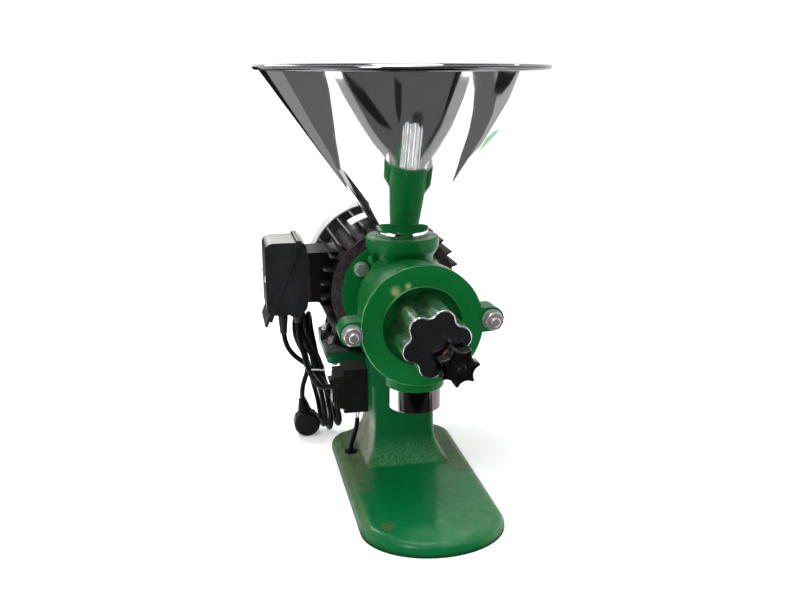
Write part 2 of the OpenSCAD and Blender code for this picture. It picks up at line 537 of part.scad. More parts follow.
// the tail leaves the left-hand turn and drops into the plug's neck
tail_pts = [[-92.2, 97, 106], [-92.3, 97.6, 98], [-94, 99.2, 90], [-96.8, 101.6, 82], [-100.2, 104.8, 74],
    [-102.4, 108, 65.5], [-102.6, 110.6, 57.5], [-101.6, 111.9, 50.5], [-100.6, 112, 45], [-99.3, 112, 37]];
module cord_tail() color(black) tube(route(tail_pts, 4), cord_d / 2, 10);
module hank_tie() color(pale) hank_frame() translate([0, 0, 10]) difference() {
    linear_extrude(4) polygon(rr(hank_w + 2.4, 2 * (fold_r + cord_d / 2) + 2.8, 3));
    translate([0, 0, -1]) linear_extrude(6) polygon(rr(hank_w + 0.1, 2 * (fold_r + cord_d / 2 + 0.2) + 0.1, 2));
}
plug_c = [-96, 112, 15.9];
module plug_frame() translate(plug_c) rotate([0, -9, 0]) children();
module plug_body() color(black) plug_frame() difference() {
    union() {
        rotate([90, 0, 0]) rotate_extrude() polygon([[0, -12], [14, -12], [15.8, -10], [15.8, 8], [12, 12], [0, 12]]);
        translate([0, 0, 10]) cylinder(r1 = 8, r2 = cord_d / 2 + 1, h = 20);
    }
    translate([0, 0, 12]) cylinder(r = cord_d / 2 + 0.02, h = 30);
}
module plug_pins() color(steel) plug_frame() for (s = [-1, 1]) translate([9.5 * s, 12, 0]) rotate([-90, 0, 0]) {
    cylinder(r = 2.4, h = 17);
    translate([0, 0, 17]) cylinder(r1 = 2.4, r2 = 1.2, h = 2);
}

/* ---------------- switch box ---------------- */
sw_x = -post_hw - 0.2;
earth_pts = [[-46.5, 28, 50], [-46.9, 27.6, 44], [-49, 25.2, 36], [-52.6, 21.6, 28], [-55.2, 19.2, 20], [-56, 18.2, 13], [-56, 18, 4]];
module earth_sleeve() color(black) tube(route(earth_pts, 4), 2.6, 8);
module earth_wires() color(pale) for (s = [-1, 1]) tube(route([[-46 + 1.6 * s, 28, 62.5], [-46 + 1.5 * s, 28, 57], [-46.5 + 1.1 * s, 28, 50.1]], 4), 0.9, 8);
module cable_grommet() color(black) translate([-56, 18, 0]) rotate_extrude() polygon([[2.75, 5.5], [6.7, 5.5], [6.7, 6.95],
    [5.45, 6.95], [5.45, 14.05], [7.6, 14.05], [7.1, 15.6], [4.4, 16.6], [2.75, 16]]);
module switch_box() color(black) difference() {
    union() {
        translate([sw_x - 27, 20, 60]) cube([27, 36, 51]);
        translate([sw_x - 36, 19, 66]) cube([9.5, 38, 38.5]);
    }
    translate([sw_x - 26, 22, 62]) cube([24, 32, 47]);
    translate([sw_x - 37.5, 24.3, 70.3]) cube([17, 17.4, 31.4]);
    translate([-75, 49, 83]) rotate([0, 90, 0]) cylinder(r = 3.05, h = 20);
    translate([-46, 28, 55]) cylinder(r = 3.5, h = 8);
}
module switch_bezel() color(dark) difference() {
    union() {
        translate([sw_x - 38, 22, 67.5]) cube([1.95, 22, 36]);
        translate([sw_x - 36.1, 24.4, 70.4]) cube([6, 17.2, 31.2]);
    }
    translate([sw_x - 45, 25.5, 71.5]) cube([20, 15, 29]);
    translate([rock_p[0], 24.6, rock_p[2]]) rotate([-90, 0, 0]) cylinder(r = 1.55, h = 16.8);
}
rock_p = [sw_x - 35.2, 33, 86];
module switch_rocker() color("black") translate(rock_p) rotate([0, -8, 0]) {
    translate([0, 7.2, 0]) rotate([90, 0, 0]) linear_extrude(14.4)
        polygon([[-6.5, -13.8], [-4.2, 0], [-6.5, 13.8], [2, 13.8], [4, 6], [4, -6], [2, -13.8]]);
    // its pivot pin
    translate([0, -8.2, 0]) rotate([-90, 0, 0]) cylinder(r = 1.5, h = 16.4);
}

base_casting();
housing();
front_cover();
adjusting_sleeve();
cover_studs();
cover_nuts();
cover_washers();
guide_pins();
housing_bolts();
bolt_washers();
shaft_seal();
spout();
hopper();
hopper_set_screw();
adjusting_knob();
lock_stem();
lock_knob();
burr_carrier();
fixed_burr();
fixed_burr_screws();
rotating_burr();
rotating_burr_screws();
burr_holder();
shaft_end_bolt();
feed_auger();
auger_key();
motor_shaft();
rotor_core();
cooling_fan();
motor_bearings();
motor_frame();
front_end_shield();
rear_end_shield();
tie_bolts();
stator_core();
stator_windings();
fan_cowl();
cowl_screws();
foot_bolts();
foot_nuts();
terminal_box_base();
terminal_box_lid();
lid_screws();
terminal_block();
run_capacitor();
lead_gland();
motor_lead();
cord_gland();
cord_lead_in();
cord_hank();
cord_tail();
hank_tie();
plug_body();
plug_pins();
switch_box();
switch_bezel();
switch_rocker();
earth_wires();
earth_sleeve();
cable_grommet();
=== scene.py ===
import bpy
import bmesh
import json
import math
from mathutils import Vector, Matrix


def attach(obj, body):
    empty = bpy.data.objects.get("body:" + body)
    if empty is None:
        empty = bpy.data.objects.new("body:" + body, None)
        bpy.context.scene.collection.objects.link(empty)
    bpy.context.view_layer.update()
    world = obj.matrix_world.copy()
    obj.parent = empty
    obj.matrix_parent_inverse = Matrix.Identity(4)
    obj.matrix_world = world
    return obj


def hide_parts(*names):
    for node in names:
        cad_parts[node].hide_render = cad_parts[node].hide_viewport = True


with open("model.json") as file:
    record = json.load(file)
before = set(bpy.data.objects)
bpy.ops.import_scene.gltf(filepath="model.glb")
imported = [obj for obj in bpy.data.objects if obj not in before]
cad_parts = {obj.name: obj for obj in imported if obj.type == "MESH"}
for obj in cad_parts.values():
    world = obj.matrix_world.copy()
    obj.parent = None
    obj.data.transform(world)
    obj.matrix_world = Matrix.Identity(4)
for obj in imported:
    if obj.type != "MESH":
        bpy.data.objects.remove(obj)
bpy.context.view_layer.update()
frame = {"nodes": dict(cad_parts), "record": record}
NODES = frame["nodes"]
SC = bpy.context.scene
MM = 0.001
AXIS_H = 193.0


def link(o):
    SC.collection.objects.link(o)
    return o


# ------------------------------------------------------------------ camera
fw = Vector((0.1991, 0.9447, -0.2605)).normalized()
rt = Vector((0.9785, -0.2062, 0.0)).normalized()
up = rt.cross(fw)
cam_data = bpy.data.cameras.new("camera")
cam_data.sensor_fit = "HORIZONTAL"
cam_data.sensor_width = 36.0
cam_data.lens = 40.5
cam_data.clip_start = 0.05
cam = link(bpy.data.objects.new("camera", cam_data))
m = Matrix((rt, up, -fw)).transposed().to_4x4()
m.translation = Vector((-0.1962, -0.9195, 0.4481))
cam.matrix_world = m
SC.camera = cam


# ------------------------------------------------------------------ meshes
def mesh_obj(name, verts, faces, scale=MM, smooth=True):
    me = bpy.data.meshes.new(name)
    me.from_pydata([[c * scale for c in v] for v in verts], [], faces)
    bm = bmesh.new()
    bm.from_mesh(me)
    bmesh.ops.remove_doubles(bm, verts=bm.verts, dist=1e-6)
    bmesh.ops.recalc_face_normals(bm, faces=bm.faces)
    bm.to_mesh(me)
    bm.free()
    for p in me.polygons:
        p.use_smooth = smooth
    return link(bpy.data.objects.new(name, me))


def fillet(pts, radii, seg=5):
    """The closed 2D outline pts with its corners rounded by radii."""
    out = []
    n = len(pts)
    for i in range(n):
        r = radii[i] if isinstance(radii, (list, tuple)) else radii
        p, a, b = Vector(pts[i]), Vector(pts[i - 1]), Vector(pts[(i + 1) % n])
        u, v = (a - p), (b - p)
        lu, lv = u.length, v.length
        if r <= 0 or lu < 1e-6 or lv < 1e-6:
            out.append((p.x, p.y))
            continue
        u, v = u / lu, v / lv
        ang = math.acos(max(-1, min(1, u.dot(v))))
        if ang > math.pi - 0.02:
            out.append((p.x, p.y))
            continue
        d = min(r / math.tan(ang / 2), 0.49 * lu, 0.49 * lv)
        rr = d * math.tan(ang / 2)
        c = p + (u + v).normalized() * (rr / math.sin(ang / 2))
        s, e = p + u * d - c, p + v * d - c
        a0 = math.atan2(s.y, s.x)
        a1 = math.atan2(e.y, e.x)
        da = (a1 - a0 + math.pi) % (2 * math.pi) - math.pi
        for k in range(seg + 1):
            t = a0 + da * k / seg
            out.append((c.x + rr * math.cos(t), c.y + rr * math.sin(t)))
    return out


def lathe(name, profile, n=160, place=None, scale=MM):
    """Turns a closed profile of (radius, along) about an axis. place maps (x, y, along) to the row frame."""
    place = place or (lambda x, y, z: (x, y, z))
    verts, faces = [], []
    k = len(profile)
    for j in range(n):
        a = 2 * math.pi * j / n
        for r, h in profile:
            verts.append(place(r * math.cos(a), r * math.sin(a), h))
    for j in range(n):
        q = (j + 1) % n
        for i in range(k):
            w = (i + 1) % k
            faces.append((j * k + i, q * k + i, q * k + w, j * k + w))
    o = mesh_obj(name, verts, faces, scale)
    bm = bmesh.new()
    bm.from_mesh(o.data)
    bad = [f for f in bm.faces if f.calc_area() < 1e-14]
    if bad:
        bmesh.ops.delete(bm, geom=bad, context="FACES")
    bm.to_mesh(o.data)
    bm.free()
    return o


def along_y(y0, cx=0.0, cz=AXIS_H):
    """Places a shape whose own Z axis runs along +Y."""
    return lambda x, y, z: (cx + x, y0 + z, cz - y)


def prism(name, outline, z0, z1, bevel=0.0, seg=3, place=None, top_bevel=None):
    """An outline pushed from z0 to z1 with both of its rims rounded by insetting the outline."""
    place = place or (lambda x, y, z: (x, y, z))
    n = len(outline)
    P = [Vector(p) for p in outline]
    area = sum(P[i - 1].x * P[i].y - P[i].x * P[i - 1].y for i in range(n))
    sgn = 1 if area > 0 else -1
    nor = []
    for i in range(n):
        t = (P[(i + 1) % n] - P[i]).normalized() + (P[i] - P[i - 1]).normalized()
        t.normalize()
        nor.append(Vector((t.y, -t.x)) * sgn)
    rings = []
    b0 = bevel
    b1 = bevel if top_bevel is None else top_bevel
    for k in range(seg + 1):
        a = math.pi / 2 * k / seg
        rings.append((b0 * (1 - math.sin(a)), z0 + b0 * (1 - math.cos(a))))
    for k in range(seg + 1):
        a = math.pi / 2 * k / seg
        rings.append((b1 * (1 - math.cos(a)), z1 - b1 * (1 - math.sin(a))))
    verts, faces = [], []
    for d, z in rings:
        for i in range(n):
            q = P[i] - nor[i] * d
            verts.append(place(q.x, q.y, z))
    for k in range(len(rings) - 1):
        for i in range(n):
            j = (i + 1) % n
            faces.append((k * n + i, k * n + j, (k + 1) * n + j, (k + 1) * n + i))
    faces.append(tuple(reversed(range(n))))
    faces.append(tuple((len(rings) - 1) * n + i for i in range(n)))
    return mesh_obj(name, verts, faces)


def weighted(o):
    w = o.modifiers.new("normals", "WEIGHTED_NORMAL")
    w.weight = 80
    w.keep_sharp = False
    return o


# ------------------------------------------------------------------ node shading for CAD parts
def smooth_group():
    """Geometry nodes: shade everything smooth."""
    g = bpy.data.node_groups.new("shade_smooth", "GeometryNodeTree")
    g.interface.new_socket("Geometry", in_out="INPUT", socket_type="NodeSocketGeometry")
    g.interface.new_socket("Geometry", in_out="OUTPUT", socket_type="NodeSocketGeometry")
    i = g.nodes.new("NodeGroupInput")
    s = g.nodes.new("GeometryNodeSetShadeSmooth")
    o = g.nodes.new("NodeGroupOutput")
    g.links.new(i.outputs[0], s.inputs[0])
    g.links.new(s.outputs[0], o.inputs[0])
    return g


SMOOTH = smooth_group()


def dress(node, width=0.5, seg=2, angle=32):
    """Rounds the edges of a CAD node and smooths its curved faces, with modifiers only."""
    o = NODES[node]
    w = o.modifiers.new("weld", "WELD")
    w.merge_threshold = 2e-6
    d = o.modifiers.new("flat", "DECIMATE")
    d.decimate_type = "DISSOLVE"
    d.angle_limit = math.radians(0.15)
    s = o.modifiers.new("smooth", "NODES")
    s.node_group = SMOOTH
    if width > 0:
        b = o.modifiers.new("edges", "BEVEL")
        b.width = width * MM
        b.segments = seg
        b.limit_method = "ANGLE"
        b.angle_limit = math.radians(angle)
        b.use_clamp_overlap = True
        b.miter_outer = "MITER_ARC"
    n = o.modifiers.new("normals", "WEIGHTED_NORMAL")
    n.weight = 80
    n.keep_sharp = False


# ------------------------------------------------------------------ materials
class Mat:
    """A small helper for node materials in object coordinates (metres)."""

    def __init__(self, name):
        self.m = bpy.data.materials.new(name)
        self.m.use_nodes = True
        self.t = self.m.node_tree
        self.t.nodes.clear()
        self.out = self.t.nodes.new("ShaderNodeOutputMaterial")
        self.b = self.t.nodes.new("ShaderNodeBsdfPrincipled")
        self.t.links.new(self.b.outputs[0], self.out.inputs[0])
        self.c = self.t.nodes.new("ShaderNodeTexCoord").outputs["Object"]

    def node(self, kind, **kw):
        n = self.t.nodes.new(kind)
        for k, v in kw.items():
            setattr(n, k, v)
        return n

    def link(self, a, b):
        self.t.links.new(a, b)

    def set(self, **kw):
        for k, v in kw.items():
            s = self.b.inputs[k.replace("_", " ")]
            s.default_value = (*v, 1.0) if isinstance(v, (tuple, list)) and len(v) == 3 else v
        return self

    def mapped(self, scale=(1, 1, 1), rot=(0, 0, 0), loc=(0, 0, 0)):
        n = self.node("ShaderNodeMapping")
        n.inputs["Scale"].default_value = scale
        n.inputs["Rotation"].default_value = rot
        n.inputs["Location"].default_value = loc
        self.link(self.c, n.inputs["Vector"])
        return n.outputs[0]

    def noise(self, scale, detail=4.0, rough=0.55, vec=None, distort=0.0):
        n = self.node("ShaderNodeTexNoise")
        n.inputs["Scale"].default_value = scale
        n.inputs["Detail"].default_value = detail
        n.inputs["Roughness"].default_value = rough
        n.inputs["Distortion"].default_value = distort
        self.link(vec or self.c, n.inputs["Vector"])
        return n.outputs["Fac"]

    def voronoi(self, scale, vec=None, feature="F1", randomness=1.0):
        n = self.node("ShaderNodeTexVoronoi", feature=feature)
        n.inputs["Scale"].default_value = scale
        n.inputs["Randomness"].default_value = randomness
        self.link(vec or self.c, n.inputs["Vector"])
        return n.outputs["Distance"]

    def rng(self, val, a, b, lo, hi, clamp=True, smooth=False):
        n = self.node("ShaderNodeMapRange", clamp=clamp)
        if smooth:
            n.interpolation_type = "SMOOTHSTEP"
        n.inputs["From Min"].default_value = a
        n.inputs["From Max"].default_value = b
        n.inputs["To Min"].default_value = lo
        n.inputs["To Max"].default_value = hi
        self.link(val, n.inputs["Value"])
        return n.outputs["Result"]

    def math(self, op, a, b=None, clamp=False):
        n = self.node("ShaderNodeMath", operation=op, use_clamp=clamp)
        for i, v in enumerate((a, b)):
            if v is None:
                continue
            if isinstance(v, (int, float)):
                n.inputs[i].default_value = v
            else:
                self.link(v, n.inputs[i])
        return n.outputs[0]

    def mix(self, fac, a, b, kind="MIX"):
        n = self.node("ShaderNodeMix", data_type="RGBA", blend_type=kind)
        for key, v in (("Factor", fac), ("A", a), ("B", b)):
            s = [x for x in n.inputs if x.name == key and x.type == ("VALUE" if key == "Factor" else "RGBA")][0]
            if isinstance(v, (int, float)):
                s.default_value = v
            elif isinstance(v, (tuple, list)):
                s.default_value = (*v, 1.0)
            else:
                self.link(v, s)
        return [x for x in n.outputs if x.type == "RGBA"][0]

    def bump(self, height, strength=0.2, dist=0.0005, after=None):
        n = self.node("ShaderNodeBump")
        n.inputs["Strength"].default_value = strength
        n.inputs["Distance"].default_value = dist
        self.link(height, n.inputs["Height"])
        if after is not None:
            self.link(after, n.inputs["Normal"])
        return n.outputs[0]

    def xyz(self):
        n = self.node("ShaderNodeSeparateXYZ")
        self.link(self.c, n.inputs[0])
        return n.outputs

    def normal(self):
        g = self.node("ShaderNodeNewGeometry")
        n = self.node("ShaderNodeSeparateXYZ")
        self.link(g.outputs["Normal"], n.inputs[0])
        return n.outputs

    def edges(self, lo=0.5, hi=0.62):
        """1 along convex edges."""
        g = self.node("ShaderNodeNewGeometry")
        return self.rng(g.outputs["Pointiness"], lo, hi, 0, 1)

    def to(self, socket, out):
        self.link(out, self.b.inputs[socket])


def enamel(name, dusty=False):
    """Thick green enamel over a casting: soft orange peel, slight cast unevenness, tiny dust and knocks."""
    M = Mat(name)
    M.set(Metallic=0.0, IOR=1.5, Specular_IOR_Level=0.08, Coat_Weight=0.12, Coat_Roughness=0.11, Coat_IOR=1.5)
    big = M.noise(14, 3, 0.5)
    fine = M.noise(260, 3, 0.6)
    base = M.mix(M.rng(big, 0.3, 0.7, 0, 1), (0.0003, 0.094, 0.0165), (0.0004, 0.122, 0.0225))
    grain = M.rng(M.noise(900, 2, 0.6), 0.45, 0.75, 0, 0.35)
    base = M.mix(grain, base, (0.0004, 0.058, 0.012))
    # dust grains and nicks
    specks = M.math("LESS_THAN", M.voronoi(420), 0.11)
    specks = M.math("MULTIPLY", specks, M.rng(M.noise(40, 3, 0.6), 0.55, 0.7, 0, 0.6))
    base = M.mix(specks, base, (0.18, 0.33, 0.20))
    rough = M.rng(M.noise(60, 4, 0.6), 0.3, 0.75, 0.26, 0.42)
    if dusty:
        base = M.mix(0.45, base, (0.0004, 0.112, 0.044))
    if not dusty:
        # paint rubbed thin on the rims of the cover and of its recess, with a painted highlight on their upper and left
        # parts where these edges catch the light; beside the recess, two painted glints
        X, Y, Z = M.xyz()
        zz = M.math("SUBTRACT", Z, AXIS_H * MM)
        rr = M.math("SQRT", M.math("ADD", M.math("MULTIPLY", X, X), M.math("MULTIPLY", zz, zz)))
        face = M.rng(Y, -0.0975, -0.0962, 1, 0)
        wob = M.rng(M.noise(45, 3, 0.6), 0.3, 0.7, -0.0006, 0.0006)
        recess_rub_and_highlight = M.rng(M.math("ABSOLUTE", M.math("SUBTRACT", M.math("ADD", rr, wob), 0.0404)), 0.0004, 0.0011, 1, 0)
        recess_rub_and_highlight = M.math("MULTIPLY", recess_rub_and_highlight, M.math("MULTIPLY", M.rng(zz, 0.010, 0.030, 0, 0.7), M.rng(X, 0.012, -0.010, 0.25, 1)))
        # the cover's left rim: rubbed paint with a painted highlight along it
        rim = M.rng(M.math("ABSOLUTE", M.math("SUBTRACT", M.math("ADD", rr, wob), 0.0616)), 0.0002, 0.0006, 1, 0)
        rim = M.math("MULTIPLY", rim, M.rng(X, 0.015, -0.02, 0, 1))
        worn = M.math("MULTIPLY", M.math("MAXIMUM", recess_rub_and_highlight, rim), M.math("MULTIPLY", face, M.rng(M.noise(110, 4, 0.6), 0.35, 0.6, 0.3, 0.9)))
        # the rubbed paint and the painted edge highlight together, in pale green
        base = M.mix(worn, base, (0.17, 0.43, 0.21))
        # painted glints: two soft pale gold spots of light on the cover face beside the recess
        for cx, cz, w in ((-0.0272, 0.0372, 0.0056), (-0.0152, 0.0420, 0.0036)):
            dx, dz = M.math("SUBTRACT", X, cx), M.math("SUBTRACT", zz, cz)
            d = M.math("SQRT", M.math("ADD", M.math("MULTIPLY", dx, dx), M.math("MULTIPLY", dz, dz)))
            painted_glint = M.rng(M.math("ADD", d, M.rng(M.noise(300, 3, 0.6), 0.3, 0.7, -w * 0.22, w * 0.22)), 0.0, w * 1.3, 1, 0, smooth=True)
            base = M.mix(M.math("MULTIPLY", M.math("MULTIPLY", painted_glint, face), 0.50), base, (0.50, 0.46, 0.25))
    if dusty:
        X, Y, Z = M.xyz()
        NX, NY, NZ = M.normal()
        cloud = M.noise(22, 6, 0.65, distort=0.4)
        blot = M.noise(75, 5, 0.7)
        wob = M.rng(cloud, 0.3, 0.7, -0.014, 0.014)
        AX = M.math("ABSOLUTE", X)
        on_top = M.math("MULTIPLY", M.rng(NZ, 0.55, 0.9, 0, 1), M.math("LESS_THAN", Z, 0.024))
        # the right half of the plate and its nose are rubbed dull
        right = M.math("MULTIPLY", M.rng(M.math("ADD", M.math("SUBTRACT", X, M.math("MULTIPLY", Y, 0.254)), M.math("MULTIPLY", wob, 0.4)), 0.0390, 0.0470, 0, 0.9, smooth=True),
                       M.rng(Y, -0.052, -0.070, 0, 1, smooth=True))
        nose = M.rng(M.math("ADD", Y, wob), -0.152, -0.170, 0, 0.42, smooth=True)
        nose = M.math("MULTIPLY", nose, M.rng(X, -0.045, -0.02, 0, 1, smooth=True))
        worn = M.math("MULTIPLY", M.math("MAXIMUM", right, nose), on_top)
        worn = M.math("MULTIPLY", worn, M.rng(blot, 0.30, 0.60, 0.72, 1.0))
        # the flare at the foot of the pedestal, speckled where the paint is rubbed
        flare = M.math("MULTIPLY", M.rng(Z, 0.0146, 0.0160, 0, 1), M.rng(Z, 0.044, 0.022, 0, 1, smooth=True))
        flare = M.math("MULTIPLY", flare, M.rng(NY, -0.2, -0.5, 0, 1))
        sp = M.rng(M.noise(620, 3, 0.75), 0.42, 0.66, 0.05, 1)
        flare = M.math("MULTIPLY", flare, M.math("MULTIPLY", sp, M.rng(cloud, 0.3, 0.6, 0.45, 1.0)))
        # dust: along the left edge, and over the back of the plate
        left = M.math("MULTIPLY", M.rng(M.math("ADD", X, wob), -0.047, -0.060, 0, 1, smooth=True), M.rng(M.math("ADD", Y, wob), -0.100, -0.062, 0, 1, smooth=True))
        left = M.math("MAXIMUM", left, M.math("MULTIPLY", M.rng(M.math("ADD", X, M.math("MULTIPLY", wob, 0.6)), -0.058, -0.068, 0, 0.6, smooth=True), M.rng(Y, -0.175, -0.14, 0.2, 1, smooth=True)))
        back = M.math("MULTIPLY", M.rng(M.math("ADD", Y, wob), -0.060, -0.035, 0, 1, smooth=True), M.rng(AX, 0.036, 0.046, 0, 1))
        back = M.math("MAXIMUM", back, M.rng(Y, -0.02, 0.0, 0, 1))
        rear = M.math("MAXIMUM", left, back)
        low_z = M.math("LESS_THAN", Z, 0.024)
        rear = M.math("MULTIPLY", rear, low_z)
        rear = M.math("MULTIPLY", rear, M.math("MAXIMUM", M.rng(NZ, 0.2, 0.7, 0, 1), M.rng(NX, -0.3, -0.8, 0, 0.8)))
        # pale dust low on the left side of the pedestal, less on the right
        side = M.math("MULTIPLY", M.rng(NX, -0.35, -0.75, 0, 1), M.rng(Z, 0.078, 0.050, 0, 1, smooth=True))
        side = M.math("MULTIPLY", side, M.rng(Z, 0.0150, 0.018, 0, 1))
        side = M.math("MULTIPLY", side, M.rng(AX, 0.064, 0.060, 0, 1))
        side_r = M.math("MULTIPLY", M.rng(NX, 0.35, 0.75, 0, 1), M.rng(Z, 0.10, 0.03, 0, 0.7, smooth=True))
        base = M.mix(M.math("MULTIPLY", worn, 0.85), base, M.mix(M.rng(blot, 0.35, 0.7, 0, 1), (0.036, 0.165, 0.062), (0.066, 0.200, 0.090)))
        base = M.mix(M.math("MULTIPLY", flare, 0.58), base, (0.17, 0.36, 0.17))
        grime = M.mix(M.rng(blot, 0.35, 0.7, 0, 1), (0.040, 0.090, 0.030), (0.105, 0.150, 0.075))
        base = M.mix(M.math("MULTIPLY", rear, 0.90), base, grime)
        pale = M.mix(M.rng(cloud, 0.35, 0.65, 0, 1), (0.17, 0.18, 0.13), (0.36, 0.36, 0.30))
        base = M.mix(M.math("MULTIPLY", side, 0.92), base, pale)
        base = M.mix(side_r, base, (0.12, 0.22, 0.12))
        brown = M.rng(M.noise(32, 4, 0.6), 0.60, 0.70, 0, 0.6)
        base = M.mix(M.math("MULTIPLY", brown, M.math("MAXIMUM", worn, rear)), base, (0.065, 0.080, 0.040))
        # scuffs near the nose
        dx, dy = M.math("ADD", X, 0.047), M.math("ADD", Y, 0.158)
        d = M.math("SQRT", M.math("ADD", M.math("MULTIPLY", dx, dx), M.math("MULTIPLY", dy, dy)))
        scuff = M.rng(M.math("ADD", d, M.rng(M.noise(180, 4, 0.7), 0.3, 0.7, -0.007, 0.007)), 0.004, 0.009, 0.8, 0)
        base = M.mix(M.math("MULTIPLY", scuff, on_top), base, (0.075, 0.060, 0.030))
        dust = M.math("MAXIMUM", M.math("MAXIMUM", worn, rear), M.math("MAXIMUM", side, flare))
        rough = M.math("ADD", rough, M.math("MULTIPLY", dust, 0.28))
        M.set(Specular_IOR_Level=0.12, Coat_Weight=0.12, Coat_Roughness=0.16)
        # darker towards the bottom, where the rim meets the table
        low = M.rng(Z, 0.0050, 0.0012, 0, 0.8, smooth=True)
        base = M.mix(low, base, (0.004, 0.020, 0.007))
    M.to("Base Color", base)
    M.to("Roughness", rough)
    h = M.math("ADD", M.math("MULTIPLY", big, 0.9), M.math("MULTIPLY", fine, 0.16))
    n1 = M.bump(M.noise(34, 3, 0.5), 0.25, 0.0012)
    n2 = M.bump(M.noise(330, 2, 0.5), 0.16, 0.00022, n1)
    M.to("Normal", n2)
    n3 = M.bump(h, 0.18, 0.0006)
    M.to("Coat Normal", n3)
    return M.m


def steel(name, tint=(0.86, 0.86, 0.87), rough=0.035, wave=0.10, wave_scale=9, scratch=0.05, axis=None, dark=None):
    """Polished sheet: very slight waviness, hairlines and finger haze."""
    M = Mat(name)
    M.set(Metallic=1.0)
    haze = M.noise(26, 5, 0.6)
    col = M.mix(M.rng(haze, 0.35, 0.75, 0, 0.35), tint, tuple(c * 0.80 for c in tint))
    X, Y, Z = M.xyz()
    if dark == "rim":
        # painted reflection: the rolled rim is coloured nearly black, standing in for the dark surroundings it reflects
        col = M.mix(M.rng(Z, 0.4350, 0.4368, 0, 0.9, smooth=True), col, (0.10, 0.10, 0.105))
    if dark == "side":
        # painted reflection: the tube is coloured brownish black except for a strip on its left, standing in for the
        # dark surroundings it reflects
        col = M.mix(M.rng(X, -0.0175, -0.0150, 0, 0.92, smooth=True), col, (0.055, 0.030, 0.026))
    M.to("Base Color", col)
    line = M.noise(90, 3, 0.7, vec=M.mapped(scale=axis or (1, 1, 9)))
    r = M.math("ADD", M.rng(haze, 0.35, 0.8, rough, rough * 2.6), M.rng(line, 0.55, 0.8, 0, scratch))
    M.to("Roughness", r)
    n1 = M.bump(M.noise(wave_scale, 2, 0.4), wave, 0.004)
    n2 = M.bump(line, 0.02, 0.0002, n1)
    M.to("Normal", n2)
    return M.m


def chrome_cast(name):
    """Chromed casting, ground and polished by hand: soft lumps, fine pits."""
    M = Mat(name)
    M.set(Metallic=1.0)
    lump = M.noise(55, 3, 0.55)
    cloud = M.noise(120, 5, 0.7)
    M.to("Base Color", M.mix(M.rng(cloud, 0.4, 0.75, 0, 0.6), (0.80, 0.80, 0.82), (0.52, 0.52, 0.54)))
    M.to("Roughness", M.rng(cloud, 0.35, 0.8, 0.07, 0.26))
    n1 = M.bump(lump, 0.30, 0.0012)
    n2 = M.bump(cloud, 0.12, 0.00025, n1)
    M.to("Normal", n2)
    return M.m


def knob_chrome(name):
    """Chrome over a ground casting: the end face tinted a darker purple as a painted reflection, the fluted side
    brighter with soft lengthwise streaks.
    """
    M = Mat(name)
    M.set(Metallic=1.0)
    NX, NY, NZ = M.normal()
    side = M.rng(M.math("ABSOLUTE", NY), 0.35, 0.8, 1, 0)
    cloud = M.noise(80, 4, 0.6)
    lump = M.noise(48, 2, 0.5)
    streak = M.noise(260, 3, 0.6, vec=M.mapped(scale=(1, 0.12, 1)))
    pits = M.noise(520, 4, 0.7)
    col = M.mix(M.rng(cloud, 0.40, 0.70, 0, 0.8), (0.90, 0.91, 0.92), (0.55, 0.56, 0.58))
    col = M.mix(M.math("MULTIPLY", side, M.rng(streak, 0.42, 0.60, 0, 0.6)), col, (0.45, 0.47, 0.46))
    # painted reflection: the end face's colour is darkened and tinted purple, standing in for the dim purple
    # surroundings it reflects
    col = M.mix(M.math("MULTIPLY", M.math("SUBTRACT", 1.0, side), 0.6), col, M.mix(M.rng(pits, 0.4, 0.65, 0, 1), (0.40, 0.35, 0.44), (0.60, 0.54, 0.64)))
    M.to("Base Color", col)
    M.to("Roughness", M.math("ADD", M.rng(cloud, 0.35, 0.8, 0.12, 0.20), M.math("MULTIPLY", side, M.rng(pits, 0.3, 0.7, 0.02, 0.12))))
    n1 = M.bump(lump, 0.40, 0.0016)
    n2 = M.bump(streak, 0.10, 0.0003, n1)
    n3 = M.bump(pits, 0.14, 0.00022, n2)
    M.to("Normal", n3)
    return M.m


def hardware(name, tint=(0.72, 0.67, 0.68), rough=0.26):
    M = Mat(name)
    M.set(Metallic=0.9)
    a = M.noise(900, 3, 0.6, vec=M.mapped(scale=(1, 0.15, 1)))
    b = M.noise(150, 4, 0.6)
    M.to("Base Color", M.mix(M.rng(b, 0.4, 0.8, 0, 0.7), tint, tuple(c * 0.6 for c in tint)))
    M.to("Roughness", M.math("ADD", M.rng(b, 0.3, 0.8, rough, rough + 0.2), M.rng(a, 0.5, 0.8, 0, 0.08)))
    M.to("Normal", M.bump(a, 0.10, 0.00012))
    return M.m


def black_cast(name, tint=(0.0040, 0.0028, 0.0034), edge=(0.46, 0.45, 0.44), dusty=0.16):
    """Black painted cast aluminium: sand-cast grain, and a painted highlight of pale metal colour along the convex fin
    edges.
    """
    M = Mat(name)
    M.set(IOR=1.5, Specular_IOR_Level=0.03)
    g = M.noise(420, 4, 0.65)
    c = M.noise(45, 5, 0.6)
    base = M.mix(M.rng(c, 0.35, 0.7, 0, 1), tint, tuple(min(1, v * 2.3) for v in tint))
    NX, NY, NZ = M.normal()
    dust = M.math("MULTIPLY", M.rng(NZ, 0.3, 0.95, 0, dusty), M.rng(c, 0.3, 0.7, 0.4, 1))
    base = M.mix(dust, base, (0.17, 0.165, 0.155))
    # painted highlight: convex edges coloured pale, standing in for the light the fin edges catch
    painted_edge_highlight = M.math("MULTIPLY", M.edges(0.53, 0.64), M.rng(g, 0.35, 0.6, 0.3, 1))
    base = M.mix(painted_edge_highlight, base, edge)
    M.to("Base Color", base)
    M.to("Roughness", M.math("ADD", M.rng(g, 0.3, 0.7, 0.34, 0.56), M.math("MULTIPLY", dust, 0.25)))
    n1 = M.bump(g, 0.30, 0.0004)
    n2 = M.bump(M.noise(70, 3, 0.6), 0.25, 0.0012, n1)
    M.to("Normal", n2)
    return M.m


